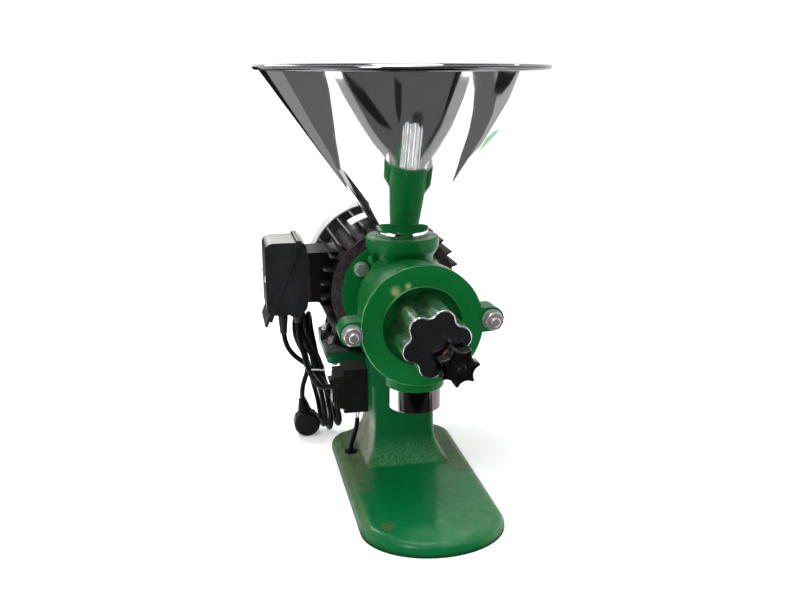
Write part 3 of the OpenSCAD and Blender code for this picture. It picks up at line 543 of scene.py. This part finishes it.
def plastic(name, tint=(0.011, 0.011, 0.0125), rough=0.30, grain=0.08, dust=0.62):
    """Moulded plastic with a fine eroded texture."""
    M = Mat(name)
    M.set(IOR=1.48, Specular_IOR_Level=0.28)
    v = M.noise(1100, 2, 0.6)
    c = M.noise(38, 4, 0.6)
    NX, NY, NZ = M.normal()
    base = M.mix(M.rng(c, 0.35, 0.75, 0, 1), tint, tuple(min(1, t * 1.5 + 0.003) for t in tint))
    d = M.math("MULTIPLY", M.rng(NZ, 0.45, 0.95, 0, dust), M.rng(c, 0.3, 0.7, 0.7, 1))
    base = M.mix(d, base, (0.62, 0.62, 0.60))
    M.to("Base Color", base)
    M.to("Roughness", M.math("ADD", M.rng(v, 0.3, 0.7, rough, rough + 0.12), M.math("MULTIPLY", d, 0.3)))
    M.to("Normal", M.bump(v, grain, 0.00015))
    return M.m


def rubber(name, tint=(0.0022, 0.0022, 0.0027), rough=0.32):
    M = Mat(name)
    M.set(IOR=1.5, Specular_IOR_Level=0.13)
    c = M.noise(70, 5, 0.6)
    f = M.noise(700, 3, 0.6)
    M.to("Base Color", M.mix(M.rng(c, 0.4, 0.8, 0, 0.8), tint, tuple(t * 2.0 + 0.0015 for t in tint)))
    M.to("Roughness", M.rng(c, 0.3, 0.8, rough, rough + 0.18))
    M.to("Normal", M.bump(f, 0.12, 0.0002))
    return M.m


def simple(name, tint, rough=0.4, metal=0.0, scale=200, amount=0.25):
    M = Mat(name)
    M.set(Metallic=metal)
    c = M.noise(scale, 4, 0.6)
    M.to("Base Color", M.mix(M.rng(c, 0.35, 0.75, 0, 1), tint, tuple(t * (1 - amount) for t in tint)))
    M.to("Roughness", M.rng(c, 0.3, 0.8, rough, min(1, rough + 0.15)))
    M.to("Normal", M.bump(c, 0.12, 0.0002))
    return M.m


MATS = {
    "green_enamel": enamel("green_enamel"),
    "green_base": enamel("green_enamel_base", dusty=True),
    "polished_steel": steel("polished_steel"),
    "chrome": chrome_cast("chrome"),
    "steel_hardware": hardware("steel_hardware"),
    "burr_steel": hardware("burr_steel", (0.55, 0.55, 0.57), 0.3),
    "dark_iron": simple("dark_iron", (0.07, 0.07, 0.075), 0.5, 0.6),
    "laminations": hardware("laminations", (0.35, 0.35, 0.37), 0.35),
    "bronze": hardware("bronze", (0.62, 0.44, 0.20), 0.22),
    "black_aluminium": black_cast("black_aluminium"),
    "cowl_paint": plastic("cowl_paint", (0.36, 0.355, 0.35), 0.42, 0.05, dust=0.35),
    "flange_paint": black_cast("flange_paint", (0.0062, 0.0016, 0.0038), (0.30, 0.27, 0.28), 0.05),
    "copper": simple("copper", (0.55, 0.22, 0.08), 0.35, 0.8, 600, 0.5),
    "black_plastic": plastic("black_plastic"),
    "gloss_black": plastic("gloss_black", (0.004, 0.003, 0.0035), 0.12, 0.03, dust=0.05),
    "switch_plastic": plastic("switch_plastic", (0.0055, 0.0048, 0.005), 0.32, 0.08, dust=0.06),
    "white_plastic": plastic("white_plastic", (0.72, 0.72, 0.68), 0.4, 0.05),
    "cord_rubber": rubber("cord_rubber"),
    "wire_insulation": simple("wire_insulation", (0.62, 0.64, 0.56), 0.35, 0, 300, 0.2),
}

slots = {s["node"]: s["material_slot"] for s in frame["record"]["subparts"]}
for name, o in NODES.items():
    mat = MATS[{"base_casting": "green_base", "front_end_shield": "flange_paint", "tie_bolts": "flange_paint", "cover_studs": "steel_hardware", "cover_nuts": "steel_hardware", "cover_washers": "steel_hardware", "switch_box": "switch_plastic", "switch_bezel": "switch_plastic"}.get(name, slots[name])]
    if not o.material_slots:
        o.data.materials.append(mat)
    for s in o.material_slots:
        s.link = "OBJECT"
        s.material = mat


def give(o, slot, body, mat=None, *nodes):
    o.data.materials.clear()
    o.data.materials.append(mat or MATS[slot])
    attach(o, body)
    if nodes:
        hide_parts(*nodes)
    return o


# ------------------------------------------------------------------ mains cord
def cr(p0, p1, p2, p3, t):
    return 0.5 * ((2 * p1) + (p2 - p0) * t + (2 * p0 - 5 * p1 + 4 * p2 - p3) * t * t
                  + (3 * p1 - p0 - 3 * p2 + p3) * t * t * t)


def route(pts, k=8):
    p = [Vector(q) for q in pts]
    p = [2 * p[0] - p[1]] + p + [2 * p[-1] - p[-2]]
    out = []
    for i in range(1, len(p) - 2):
        for j in range(k):
            out.append(cr(p[i - 1], p[i], p[i + 1], p[i + 2], j / k))
    return out + [p[-2]]


def resample(pts, step):
    out, left = [pts[0].copy()], step
    for a, b in zip(pts, pts[1:]):
        d = (b - a).length
        at = left
        while at <= d:
            out.append(a.lerp(b, at / d))
            at += step
        left = at - d
    if (out[-1] - pts[-1]).length > 0.25 * step:
        out.append(pts[-1].copy())
    else:
        out[-1] = pts[-1].copy()
    return out


def relax(pts, times):
    for _ in range(times):
        q = [p.copy() for p in pts]
        for i in range(2, len(pts) - 2):
            q[i] = pts[i] * 0.5 + (pts[i - 1] + pts[i + 1]) * 0.25
        pts = q
    return pts


def tube_curve(name, pts, radius, res=5):
    """A poly curve with round bevel through points in millimetres."""
    cu = bpy.data.curves.new(name, "CURVE")
    cu.dimensions = "3D"
    cu.bevel_depth = radius * MM
    cu.bevel_resolution = res
    cu.use_fill_caps = True
    sp = cu.splines.new("POLY")
    sp.points.add(len(pts) - 1)
    for p, q in zip(sp.points, pts):
        p.co = (q.x * MM, q.y * MM, q.z * MM, 1)
    sp.use_smooth = True
    return link(bpy.data.objects.new(name, cu))


CORD_D = 6.0
IN_PTS = [(-121, 105, 133), (-119.6, 104.5, 121), (-115, 103.2, 110.5), (-107.6, 102, 102.5),
          (-98.5, 101.3, 96), (-89.5, 101.5, 88), (-81.5, 99.6, 78.5), (-74.5, 96.4, 67), (-68.0, 91.2, 54), (-61.8, 87.2, 42)]
TAIL_PTS = [(-90.4, 111.6, 88), (-94, 110.6, 79.5), (-97.6, 110, 71), (-100.2, 110.3, 62.5),
            (-101.4, 111.2, 54.5), (-101.3, 111.8, 49), (-100.6, 112, 45), (-99.3, 112, 37)]
LOW = [(-59.5, 32.0), (-69.6, 26.0), (-76.2, 28.5)]
TIE_X = [-77.8, -84.0, -90.4]
TOP = [(-90.0, 132.5), (-97.5, 134.5), (-105.0, 131.5)]
LOW_Y = [106.0, 110.0, 115.0]
TIE_Z = 88.0
TIE_Y = 115.0


def sstep(x):
    x = max(0.0, min(1.0, x))
    return x * x * (3 - 2 * x)


def strand(x0, y0, z0, xt, yt, x1, y1, z1, n=7):
    """Points of one strand from (x0, y0, z0) through the tie to (x1, y1, z1), both ends left out."""
    out = []
    for (xa, ya, za), (xb, yb, zb) in (((x0, y0, z0), (xt, yt, TIE_Z)), ((xt, yt, TIE_Z), (x1, y1, z1))):
        for k in range(1, n):
            t = k / n
            z = za + (zb - za) * t
            out.append(Vector((xa + (xb - xa) * t, ya + (yb - ya) * sstep(t), z)))
        if zb == TIE_Z:
            out.append(Vector((xt, yt, TIE_Z)))
    return out


def cord_points():
    pts = [Vector((-121, 105, 146))] + route(IN_PTS, 6)
    for k in range(3):
        xb, zb = LOW[k]
        xT, zT = TOP[k]
        for d in range(180, 361, 12):
            a = math.radians(d)
            pts.append(Vector((xb - 1.5 * math.cos(a), LOW_Y[k] + 20 * math.cos(a), zb + 20 * math.sin(a))))
        pts += strand(xb - 1.5, LOW_Y[k] + 20, zb, TIE_X[k] - 1.5, TIE_Y + 3.3, xT + 4, 138.5, zT)
        for d in range(0, 181, 12):
            a = math.radians(d)
            pts.append(Vector((xT + 4 * math.cos(a), 118.5 + 20 * math.cos(a), zT + 20 * math.sin(a))))
        if k < 2:
            xn, zn = LOW[k + 1]
            pts += strand(xT - 4, 98.5, zT, TIE_X[k] + 1.5, TIE_Y - 3.3, xn + 1.5, LOW_Y[k + 1] - 20, zn)
    xT, zT = TOP[2]
    for k in range(1, 8):
        t = k / 8
        pts.append(Vector((xT - 4 + (-90.4 - xT + 4) * t, 98.5 + (111.6 - 98.5) * sstep(t), zT + (88 - zT) * t)))
    pts += route(TAIL_PTS, 6)
    return relax(resample(pts, 2.5), 22)


cord_line = cord_points()
cord_o = tube_curve("mains_cord", cord_line, CORD_D / 2, 4)
give(cord_o, "cord_rubber", "frame", None, "cord_lead_in", "cord_hank", "cord_tail")

# plug: round body with a ribbed neck, face and pins towards +Y
PLUG_C = Vector((-96, 112, 15.9))
PLUG_R = Matrix.Rotation(math.radians(-9), 4, "Y")


def plug_place(x, y, z):
    return PLUG_C + PLUG_R @ Vector((x, y, z))


body_prof = fillet([(0.01, -12), (13.2, -12), (15.8, -9.2), (15.8, 7), (12.6, 11.9), (0.01, 11.9)], [0, 2.2, 2.5, 2.5, 1.4, 0], 4)
plug_o = lathe("plug_shell", body_prof, 64, lambda x, y, z: plug_place(x, z, -y))
# grip dimples round the body's edge are cut as shallow flutes
for v in plug_o.data.vertices:
    q = PLUG_R.inverted() @ (Vector(v.co) / MM - PLUG_C)
    rad = math.hypot(q.x, q.z)
    if rad > 11 and -9.5 < q.y < 8:
        a = math.atan2(q.z, q.x)
        w = max(0.0, math.cos(14 * a)) ** 2 * 0.9
        s = (rad - w) / rad
        q = Vector((q.x * s, q.y, q.z * s))
        v.co = (PLUG_C + PLUG_R @ q) * MM
neck_prof = [(CORD_D / 2 + 0.15, 8), (9.2, 8), (8.9, 13.5)]
z, r = 13.5, 8.2
while z < 29:
    neck_prof += [(r - 1.1, z + 0.5), (r - 1.1, z + 1.2), (r, z + 1.6), (r, z + 2.5), (r - 0.3, z + 2.8)]
    z += 2.9
    r -= 0.72
neck_prof += [(CORD_D / 2 + 0.4, z + 0.4), (CORD_D / 2 + 0.15, z + 0.2)]
neck_o = lathe("plug_neck", neck_prof, 40, lambda x, y, z: plug_place(x, y, z))
weighted(plug_o)
give(plug_o, "cord_rubber", "frame", None, "plug_body")
give(neck_o, "cord_rubber", "frame")


# tie: a plastic coated wire pulled round the bundle and twisted once
tp = []
for k in range(48):
    a = 2 * math.pi * k / 48
    c, q = math.cos(a), math.sin(a)
    tp.append(Vector((-84.6 + 11.2 * math.copysign(abs(c) ** 0.75, c), 110.2 + 13.4 * math.copysign(abs(q) ** 0.75, q),
                      86.6 - 1.6 * c + 0.8 * math.sin(3 * a))))
tie = tube_curve("hank_tie_wire", tp + [tp[0]], 0.95, 3)
give(tie, "white_plastic", "frame", None, "hank_tie")
knot = tube_curve("hank_tie_twist", [Vector((-96.2 - 0.45 * k, 111 + 1.0 * math.cos(k * 1.2), 88.4 - 0.35 * k + 1.0 * math.sin(k * 1.2))) for k in range(12)], 0.7, 2)
give(knot, "white_plastic", "frame")

# ------------------------------------------------------------------ hopper and spout
K = (147 - 27.45) / (440 - 273)
du = Vector((K, 1)).normalized()
dn = Vector((du.y, -du.x))
C = Vector((147.8, 438.8))
hp = [(27.45, 234.0), (27.45, 271.2)]
for k in range(1, 6):
    t = k / 6
    a = Vector((27.45, 271.2)).lerp(Vector((27.45, 273)), t)
    b = Vector((27.45, 273)).lerp(Vector((27.45, 273)) + du * 1.8, t)
    q = a.lerp(b, t)
    hp.append((q.x, q.y))
foot = Vector((147, 440)) - du * 0.51
low = foot - du * 2.22
for t in [k / 24 for k in range(24)] + [0.991, 0.9975, 1.0]:
    q = (Vector((27.45, 273)) + du * 1.8).lerp(low, t)
    hp.append((q.x, q.y))
a0 = math.atan2(low.y - C.y, low.x - C.x) % (2 * math.pi)
a1 = math.radians(360 + 152)
for k in range(1, 21):
    a = a0 + (a1 - a0) * k / 20
    hp.append((C.x + 2.6 * math.cos(a), C.y + 2.6 * math.sin(a)))
inner0 = Vector((27.45, 273)) - dn * 1.4
for k in range(0, 25):
    q = (inner0 + du * ((438.6 - inner0.y) / du.y)).lerp(inner0 + du * 1.5, k / 24)
    hp.append((q.x, q.y))
hp += [(26.05, 272.0), (26.05, 234.0)]
hopper = lathe("hopper_cone", hp, 256)
give(hopper, "polished_steel", "hopper", steel("hopper_steel", dark="rim"), "hopper")

SP_Y = -61.5
sp = fillet([(27.2, 98), (27.2, 136.9), (26.0, 136.9), (26.0, 98)], [0.5, 0.2, 0.2, 0.5], 3)
spout = lathe("spout_tube", sp, 160, lambda x, y, z: (x, SP_Y + y, z))
weighted(spout)
give(spout, "polished_steel", "frame", steel("spout_steel", rough=0.05, wave=0.05, wave_scale=20, dark="side"), "spout")


# ------------------------------------------------------------------ knobs
def union_outline(n, r, bulge, valley, vd, turn, steps=720):
    """The outline of the lobed knob in polar form, from its circles."""
    out = []
    for i in range(steps):
        th = 2 * math.pi * i / steps
        loc = (th - turn + math.pi / n) % (2 * math.pi / n) - math.pi / n
        # outer lobe circle
        c = r - bulge
        disc = bulge * bulge - (c * math.sin(loc)) ** 2
        rad = c * math.cos(loc) + math.sqrt(disc) if disc > 0 else 0
        rad = max(rad, vd + 1.5)
        # valley circle cut
        l2 = abs(loc) - math.pi / n
        cv = vd + valley
        disc = valley * valley - (cv * math.sin(l2)) ** 2
        if disc > 0:
            rad = min(rad, cv * math.cos(l2) - math.sqrt(disc))
        out.append(rad)
    # round the corners a little
    for _ in range(10):
        out = [0.5 * out[i] + 0.25 * (out[i - 1] + out[(i + 1) % steps]) for i in range(steps)]
    return [(out[i] * math.cos(2 * math.pi * i / steps), out[i] * math.sin(2 * math.pi * i / steps)) for i in range(steps)]


KNOB_TURN = math.radians(14)
ol = union_outline(6, 33.5, 11.5, 8, 26.5, KNOB_TURN, 360)
# in the CAD part the outline lies in the XZ plane with its angles counted from +X towards +Z
knob = prism("adjusting_knob_body", ol, -157.0, -88.4, bevel=1.5, seg=4, top_bevel=1.0,
             place=lambda x, y, z: (x, z, AXIS_H + y))
weighted(knob)
give(knob, "chrome", "adjusting_knob", knob_chrome("knob_chrome"), "adjusting_knob")
spig = lathe("adjusting_knob_spigot", fillet([(6.05, -112), (6.05, -76.1), (10, -76.1), (10, -95), (10, -112)], 0.3, 2), 64,
             lambda x, y, z: (x, z, AXIS_H + y))
give(spig, "chrome", "adjusting_knob")

LA = math.radians(14 - 60)
LX, LZ = 22.5 * math.cos(LA), AXIS_H + 22.5 * math.sin(LA)


def star(n=7, r=19.5, turn=math.radians(5.5), steps=420):
    out = []
    for i in range(steps):
        th = 2 * math.pi * i / steps
        loc = (th - turn + math.pi / n) % (2 * math.pi / n) - math.pi / n
        l2 = abs(loc) - math.pi / n
        rad = r
        c, q = r * 1.22, r * 0.47
        disc = q * q - (c * math.sin(l2)) ** 2
        if disc > 0:
            rad = min(rad, c * math.cos(l2) - math.sqrt(disc))
        out.append(rad)
    for _ in range(6):
        out = [0.5 * out[i] + 0.25 * (out[i - 1] + out[(i + 1) % steps]) for i in range(steps)]
    return [(out[i] * math.cos(2 * math.pi * i / steps), out[i] * math.sin(2 * math.pi * i / steps)) for i in range(steps)]


lk = prism("lock_knob_star", star(), -178.5, -163.0, bevel=2.4, seg=5, top_bevel=1.2,
           place=lambda x, y, z: (LX + x, z, LZ + y))
weighted(lk)
give(lk, "gloss_black", "lock_knob", plastic("lock_knob_plastic", (0.0026, 0.0018, 0.0018), 0.16, 0.05, dust=0.02), "lock_knob")
lc = lathe("lock_knob_collar", fillet([(4.05, -163.2), (11, -163.2), (8, -158.1), (4.05, -158.1)], [0, 0.4, 0.6, 0], 3), 64,
           lambda x, y, z: (LX + x, z, LZ + y))
give(lc, "bronze", "lock_knob", MATS["bronze"])
cap = lathe("lock_knob_cap", fillet([(0.01, -179.0), (4.6, -179.0), (6.4, -178.2), (6.4, -176), (0.01, -176)], [0, 0.6, 0.5, 0, 0], 3), 48,
            lambda x, y, z: (LX + x, z, LZ + y))
give(cap, "gloss_black", "lock_knob", MATS["gloss_black"])

# ------------------------------------------------------------------ blank plate on the motor's fins
pv, pf = [], []
na, ny = 14, 3
for j in range(ny + 1):
    for i in range(na + 1):
        th = math.radians(11 + 20 * i / na)
        yy = 84 + 30 * j / ny
        for r in (81.2, 81.9):
            pv.append((-r * math.sin(th), yy, AXIS_H + r * math.cos(th)))


def pid(i, j, k):
    return (j * (na + 1) + i) * 2 + k


for j in range(ny):
    for i in range(na):
        pf.append((pid(i, j, 1), pid(i + 1, j, 1), pid(i + 1, j + 1, 1), pid(i, j + 1, 1)))
        pf.append((pid(i, j, 0), pid(i, j + 1, 0), pid(i + 1, j + 1, 0), pid(i + 1, j, 0)))
for i in range(na):
    pf.append((pid(i, 0, 0), pid(i + 1, 0, 0), pid(i + 1, 0, 1), pid(i, 0, 1)))
    pf.append((pid(i, ny, 0), pid(i, ny, 1), pid(i + 1, ny, 1), pid(i + 1, ny, 0)))
for j in range(ny):
    pf.append((pid(0, j, 0), pid(0, j, 1), pid(0, j + 1, 1), pid(0, j + 1, 0)))
    pf.append((pid(na, j, 0), pid(na, j + 1, 0), pid(na, j + 1, 1), pid(na, j, 1)))
plate = mesh_obj("blank_plate", pv, pf)
give(plate, "steel_hardware", "frame", simple("plate_alu", (0.80, 0.80, 0.79), 0.42, 0.35, 160, 0.12))

# ------------------------------------------------------------------ CAD nodes dressed with rounded edges
for n, w in (("base_casting", 1.0), ("housing", 1.1), ("front_cover", 0.9), ("cover_studs", 0.25), ("cover_nuts", 0.4),
             ("cover_washers", 0.3), ("housing_bolts", 0.4), ("bolt_washers", 0.25), ("motor_frame", 0.6), ("front_end_shield", 0.8),
             ("rear_end_shield", 0.6), ("fan_cowl", 0.4), ("cowl_screws", 0.2), ("foot_bolts", 0.4), ("foot_nuts", 0.4),
             ("terminal_box_base", 1.2), ("terminal_box_lid", 1.2), ("lid_screws", 0.2), ("lead_gland", 0.3), ("cord_gland", 0.3),
             ("switch_box", 0.9), ("switch_bezel", 0.5), ("switch_rocker", 0.6), ("cable_grommet", 0.2), ("hopper_set_screw", 0.3),
             ("lock_stem", 0.3), ("tie_bolts", 0.3), ("plug_pins", 0.2)):
    dress(n, w, 3 if n in ("base_casting", "housing", "front_cover", "terminal_box_base", "terminal_box_lid") else 2)
for n in ("earth_sleeve", "earth_wires", "motor_lead"):
    dress(n, 0)

# ------------------------------------------------------------------ floor, light
floor_mat = Mat("floor")
floor_mat.set(Base_Color=(0.93, 0.93, 0.93), Roughness=0.7, Specular_IOR_Level=0.2, Emission_Color=(1.0, 1.0, 1.0), Emission_Strength=0.22)
FR = [(-14.0, 0.0)] + [(1.3 + 0.0 * k, 0.0) for k in range(1)] + \
    [(1.3 + 1.2 * math.sin(math.radians(9 * k)), 1.2 - 1.2 * math.cos(math.radians(9 * k))) for k in range(1, 11)] + [(2.5, 4.0)]
fv, ff = [], []
for k, (y, z) in enumerate(FR):
    fv += [(-12, y, z), (12, y, z)]
    if k:
        ff.append((2 * k - 2, 2 * k - 1, 2 * k + 1, 2 * k))
floor = mesh_obj("floor", fv, ff, 1.0, True)
floor.data.materials.append(floor_mat.m)
floor.location.z = -0.0002


def card(name, pts, grey, z=0.0004, tint=(1, 1, 1)):
    """A flag that only reflections see, as a photographer's black card."""
    o = mesh_obj(name, [(x * MM, y * MM, z) for x, y in pts], [tuple(range(len(pts)))], 1.0, False)
    M = bpy.data.materials.new(name)
    M.use_nodes = True
    t = M.node_tree
    t.nodes.clear()
    e = t.nodes.new("ShaderNodeEmission")
    e.inputs[0].default_value = (grey * tint[0], grey * tint[1], grey * tint[2], 1)
    out = t.nodes.new("ShaderNodeOutputMaterial")
    t.links.new(e.outputs[0], out.inputs[0])
    o.data.materials.append(M)
    o.visible_camera = False
    o.visible_diffuse = False
    o.visible_shadow = False
    o.visible_transmission = False
    o.visible_volume_scatter = False
    return o


V_LEFT = [(-330, -112), (-276, -118), (-214, -124), (-161, -137), (-108, -148), (-64, -150), (-18, -154)]
V_RIGHT = [(22, -158), (62, -162), (128, -171), (184, -188), (218, -215), (250, -245)]
B_LEFT = [(-372, -64), (-320, -70), (-262, -83), (-209, -100), (-148, -120), (-85, -128), (-36, -131)]
B_RIGHT = [(106, -141), (136, -146), (196, -145), (253, -155), (291, -179), (312, -214)]
card("card_edge", B_LEFT + B_RIGHT + V_RIGHT[::-1] + V_LEFT[::-1], 0.36)
card("card_front", V_LEFT + V_RIGHT + [(420, -330), (-560, -330), (-450, -180)], 0.098)
card("card_far", [(-560, -330), (420, -330), (1500, -3500), (-1700, -3500)], 0.016)
card("card_streak_left", [(-335, -128), (-240, -172), (-176, -180), (-95, -186), (-168, -159), (-235, -139), (-290, -122)], 0.012, 0.0008)
card("card_streak_mid", [(-100, -262), (-60, -262), (-52, -222), (-63, -203), (-80, -215)], 0.02, 0.0008)
card("card_streak_right", [(262, -262), (222, -221), (184, -194), (130, -177), (60, -166), (120, -184), (180, -206), (222, -270)], 0.012, 0.0008)
LEFT1 = [(-440, -75), (-406, -23), (-390, 2), (-373, 84), (-354, 226), (-322, 397)]
card("card_left", LEFT1 + [(-200, 800), (0, 1290), (-900, 1290), (-1100, 0), (-520, -120)], 0.125)
card("card_left_far", [(-345, 480), (-230, 800), (-20, 1290), (-900, 1290), (-800, 480)], 0.26, 0.0008)
RIGHT1 = [(312, -222), (349, -163), (372, -102), (383, -41), (373, 21), (383, 132), (395, 171)]
card("card_right", RIGHT1 + [(468, 196), (529, 206), (556, 139), (538, 33), (486, -77), (410, -250)], 0.13)
card("card_right_far", [(468, 196), (529, 206), (556, 139), (538, 33), (486, -77), (410, -250), (560, -220), (700, 60), (690, 300), (560, 330)], 0.42)
card("card_line", [(486, -110), (520, -80), (661, 110), (633, 124), (566, 74), (500, -23)], 0.012, 0.0008)
card("card_green", [(562, 386), (589, 342), (684, 531), (909, 1262)], 0.75, 0.0012, (0.62, 1.0, 0.68))

edge_card = card("card_edge_line", [(-900, 0), (-20, 0), (-20, 500), (-900, 500)], 0.01, 0.0)
edge_card.rotation_euler = (math.radians(90), 0, 0)
edge_card.location = (0, 1.292, 0)

world = SC.world or bpy.data.worlds.new("world")
SC.world = world
world.use_nodes = True
wt = world.node_tree
wt.nodes.clear()


def wnode(kind, **kw):
    n = wt.nodes.new(kind)
    for k, v in kw.items():
        setattr(n, k, v)
    return n


def wrange(val, a, b, lo, hi):
    n = wnode("ShaderNodeMapRange", clamp=True)
    n.interpolation_type = "SMOOTHSTEP"
    for key, v in (("From Min", a), ("From Max", b), ("To Min", lo), ("To Max", hi)):
        n.inputs[key].default_value = v
    wt.links.new(val, n.inputs["Value"])
    return n.outputs["Result"]


def wmath(op, a, b):
    n = wnode("ShaderNodeMath", operation=op)
    for i, v in enumerate((a, b)):
        if isinstance(v, (int, float)):
            n.inputs[i].default_value = v
        else:
            wt.links.new(v, n.inputs[i])
    return n.outputs[0]


tc = wnode("ShaderNodeTexCoord")
sx = wnode("ShaderNodeSeparateXYZ")
wt.links.new(tc.outputs["Generated"], sx.inputs[0])
front = wmath("MULTIPLY", wrange(sx.outputs["Y"], -0.75, -0.05, 1, 0), wrange(sx.outputs["Z"], 0.35, 0.85, 1, 0))
lp = wnode("ShaderNodeLightPath")
soft = wmath("SUBTRACT", 1.15, wmath("MULTIPLY", front, 0.80))
mirror = wmath("SUBTRACT", 1.0, wmath("MULTIPLY", front, 0.96))
ceiling = wrange(sx.outputs["Z"], 0.35, 0.8, 1.0, 0.42)
mirror = wmath("MULTIPLY", mirror, ceiling)
pick = wmath("ADD", wmath("MULTIPLY", soft, wmath("SUBTRACT", 1.0, lp.outputs["Is Glossy Ray"])),
             wmath("MULTIPLY", mirror, lp.outputs["Is Glossy Ray"]))
bg = wnode("ShaderNodeBackground")
bg.inputs[0].default_value = (1.0, 1.0, 1.0, 1)
wt.links.new(pick, bg.inputs[1])
wo = wnode("ShaderNodeOutputWorld")
wt.links.new(bg.outputs[0], wo.inputs[0])


def area(name, loc, target, size, power, size_y=None):
    d = bpy.data.lights.new(name, "AREA")
    d.energy = power
    d.size = size
    if size_y:
        d.shape = "RECTANGLE"
        d.size_y = size_y
    o = link(bpy.data.objects.new(name, d))
    o.location = loc
    o.rotation_euler = (Vector(target) - Vector(loc)).to_track_quat("-Z", "Y").to_euler()
    return o


area("key", (-0.75, -1.0, 1.35), (0, 0, 0.2), 0.35, 8)
area("fill", (1.3, -0.9, 0.8), (0, 0, 0.2), 0.7, 2)
area("top", (-0.1, -0.1, 1.8), (0, 0, 0.2), 0.7, 16)
area("back_left", (-0.42, 0.85, 1.0), (0, 0, 0.25), 0.3, 7)

SC.view_settings.view_transform = "Standard"
SC.view_settings.look = "None"
SC.view_settings.exposure = 0.0
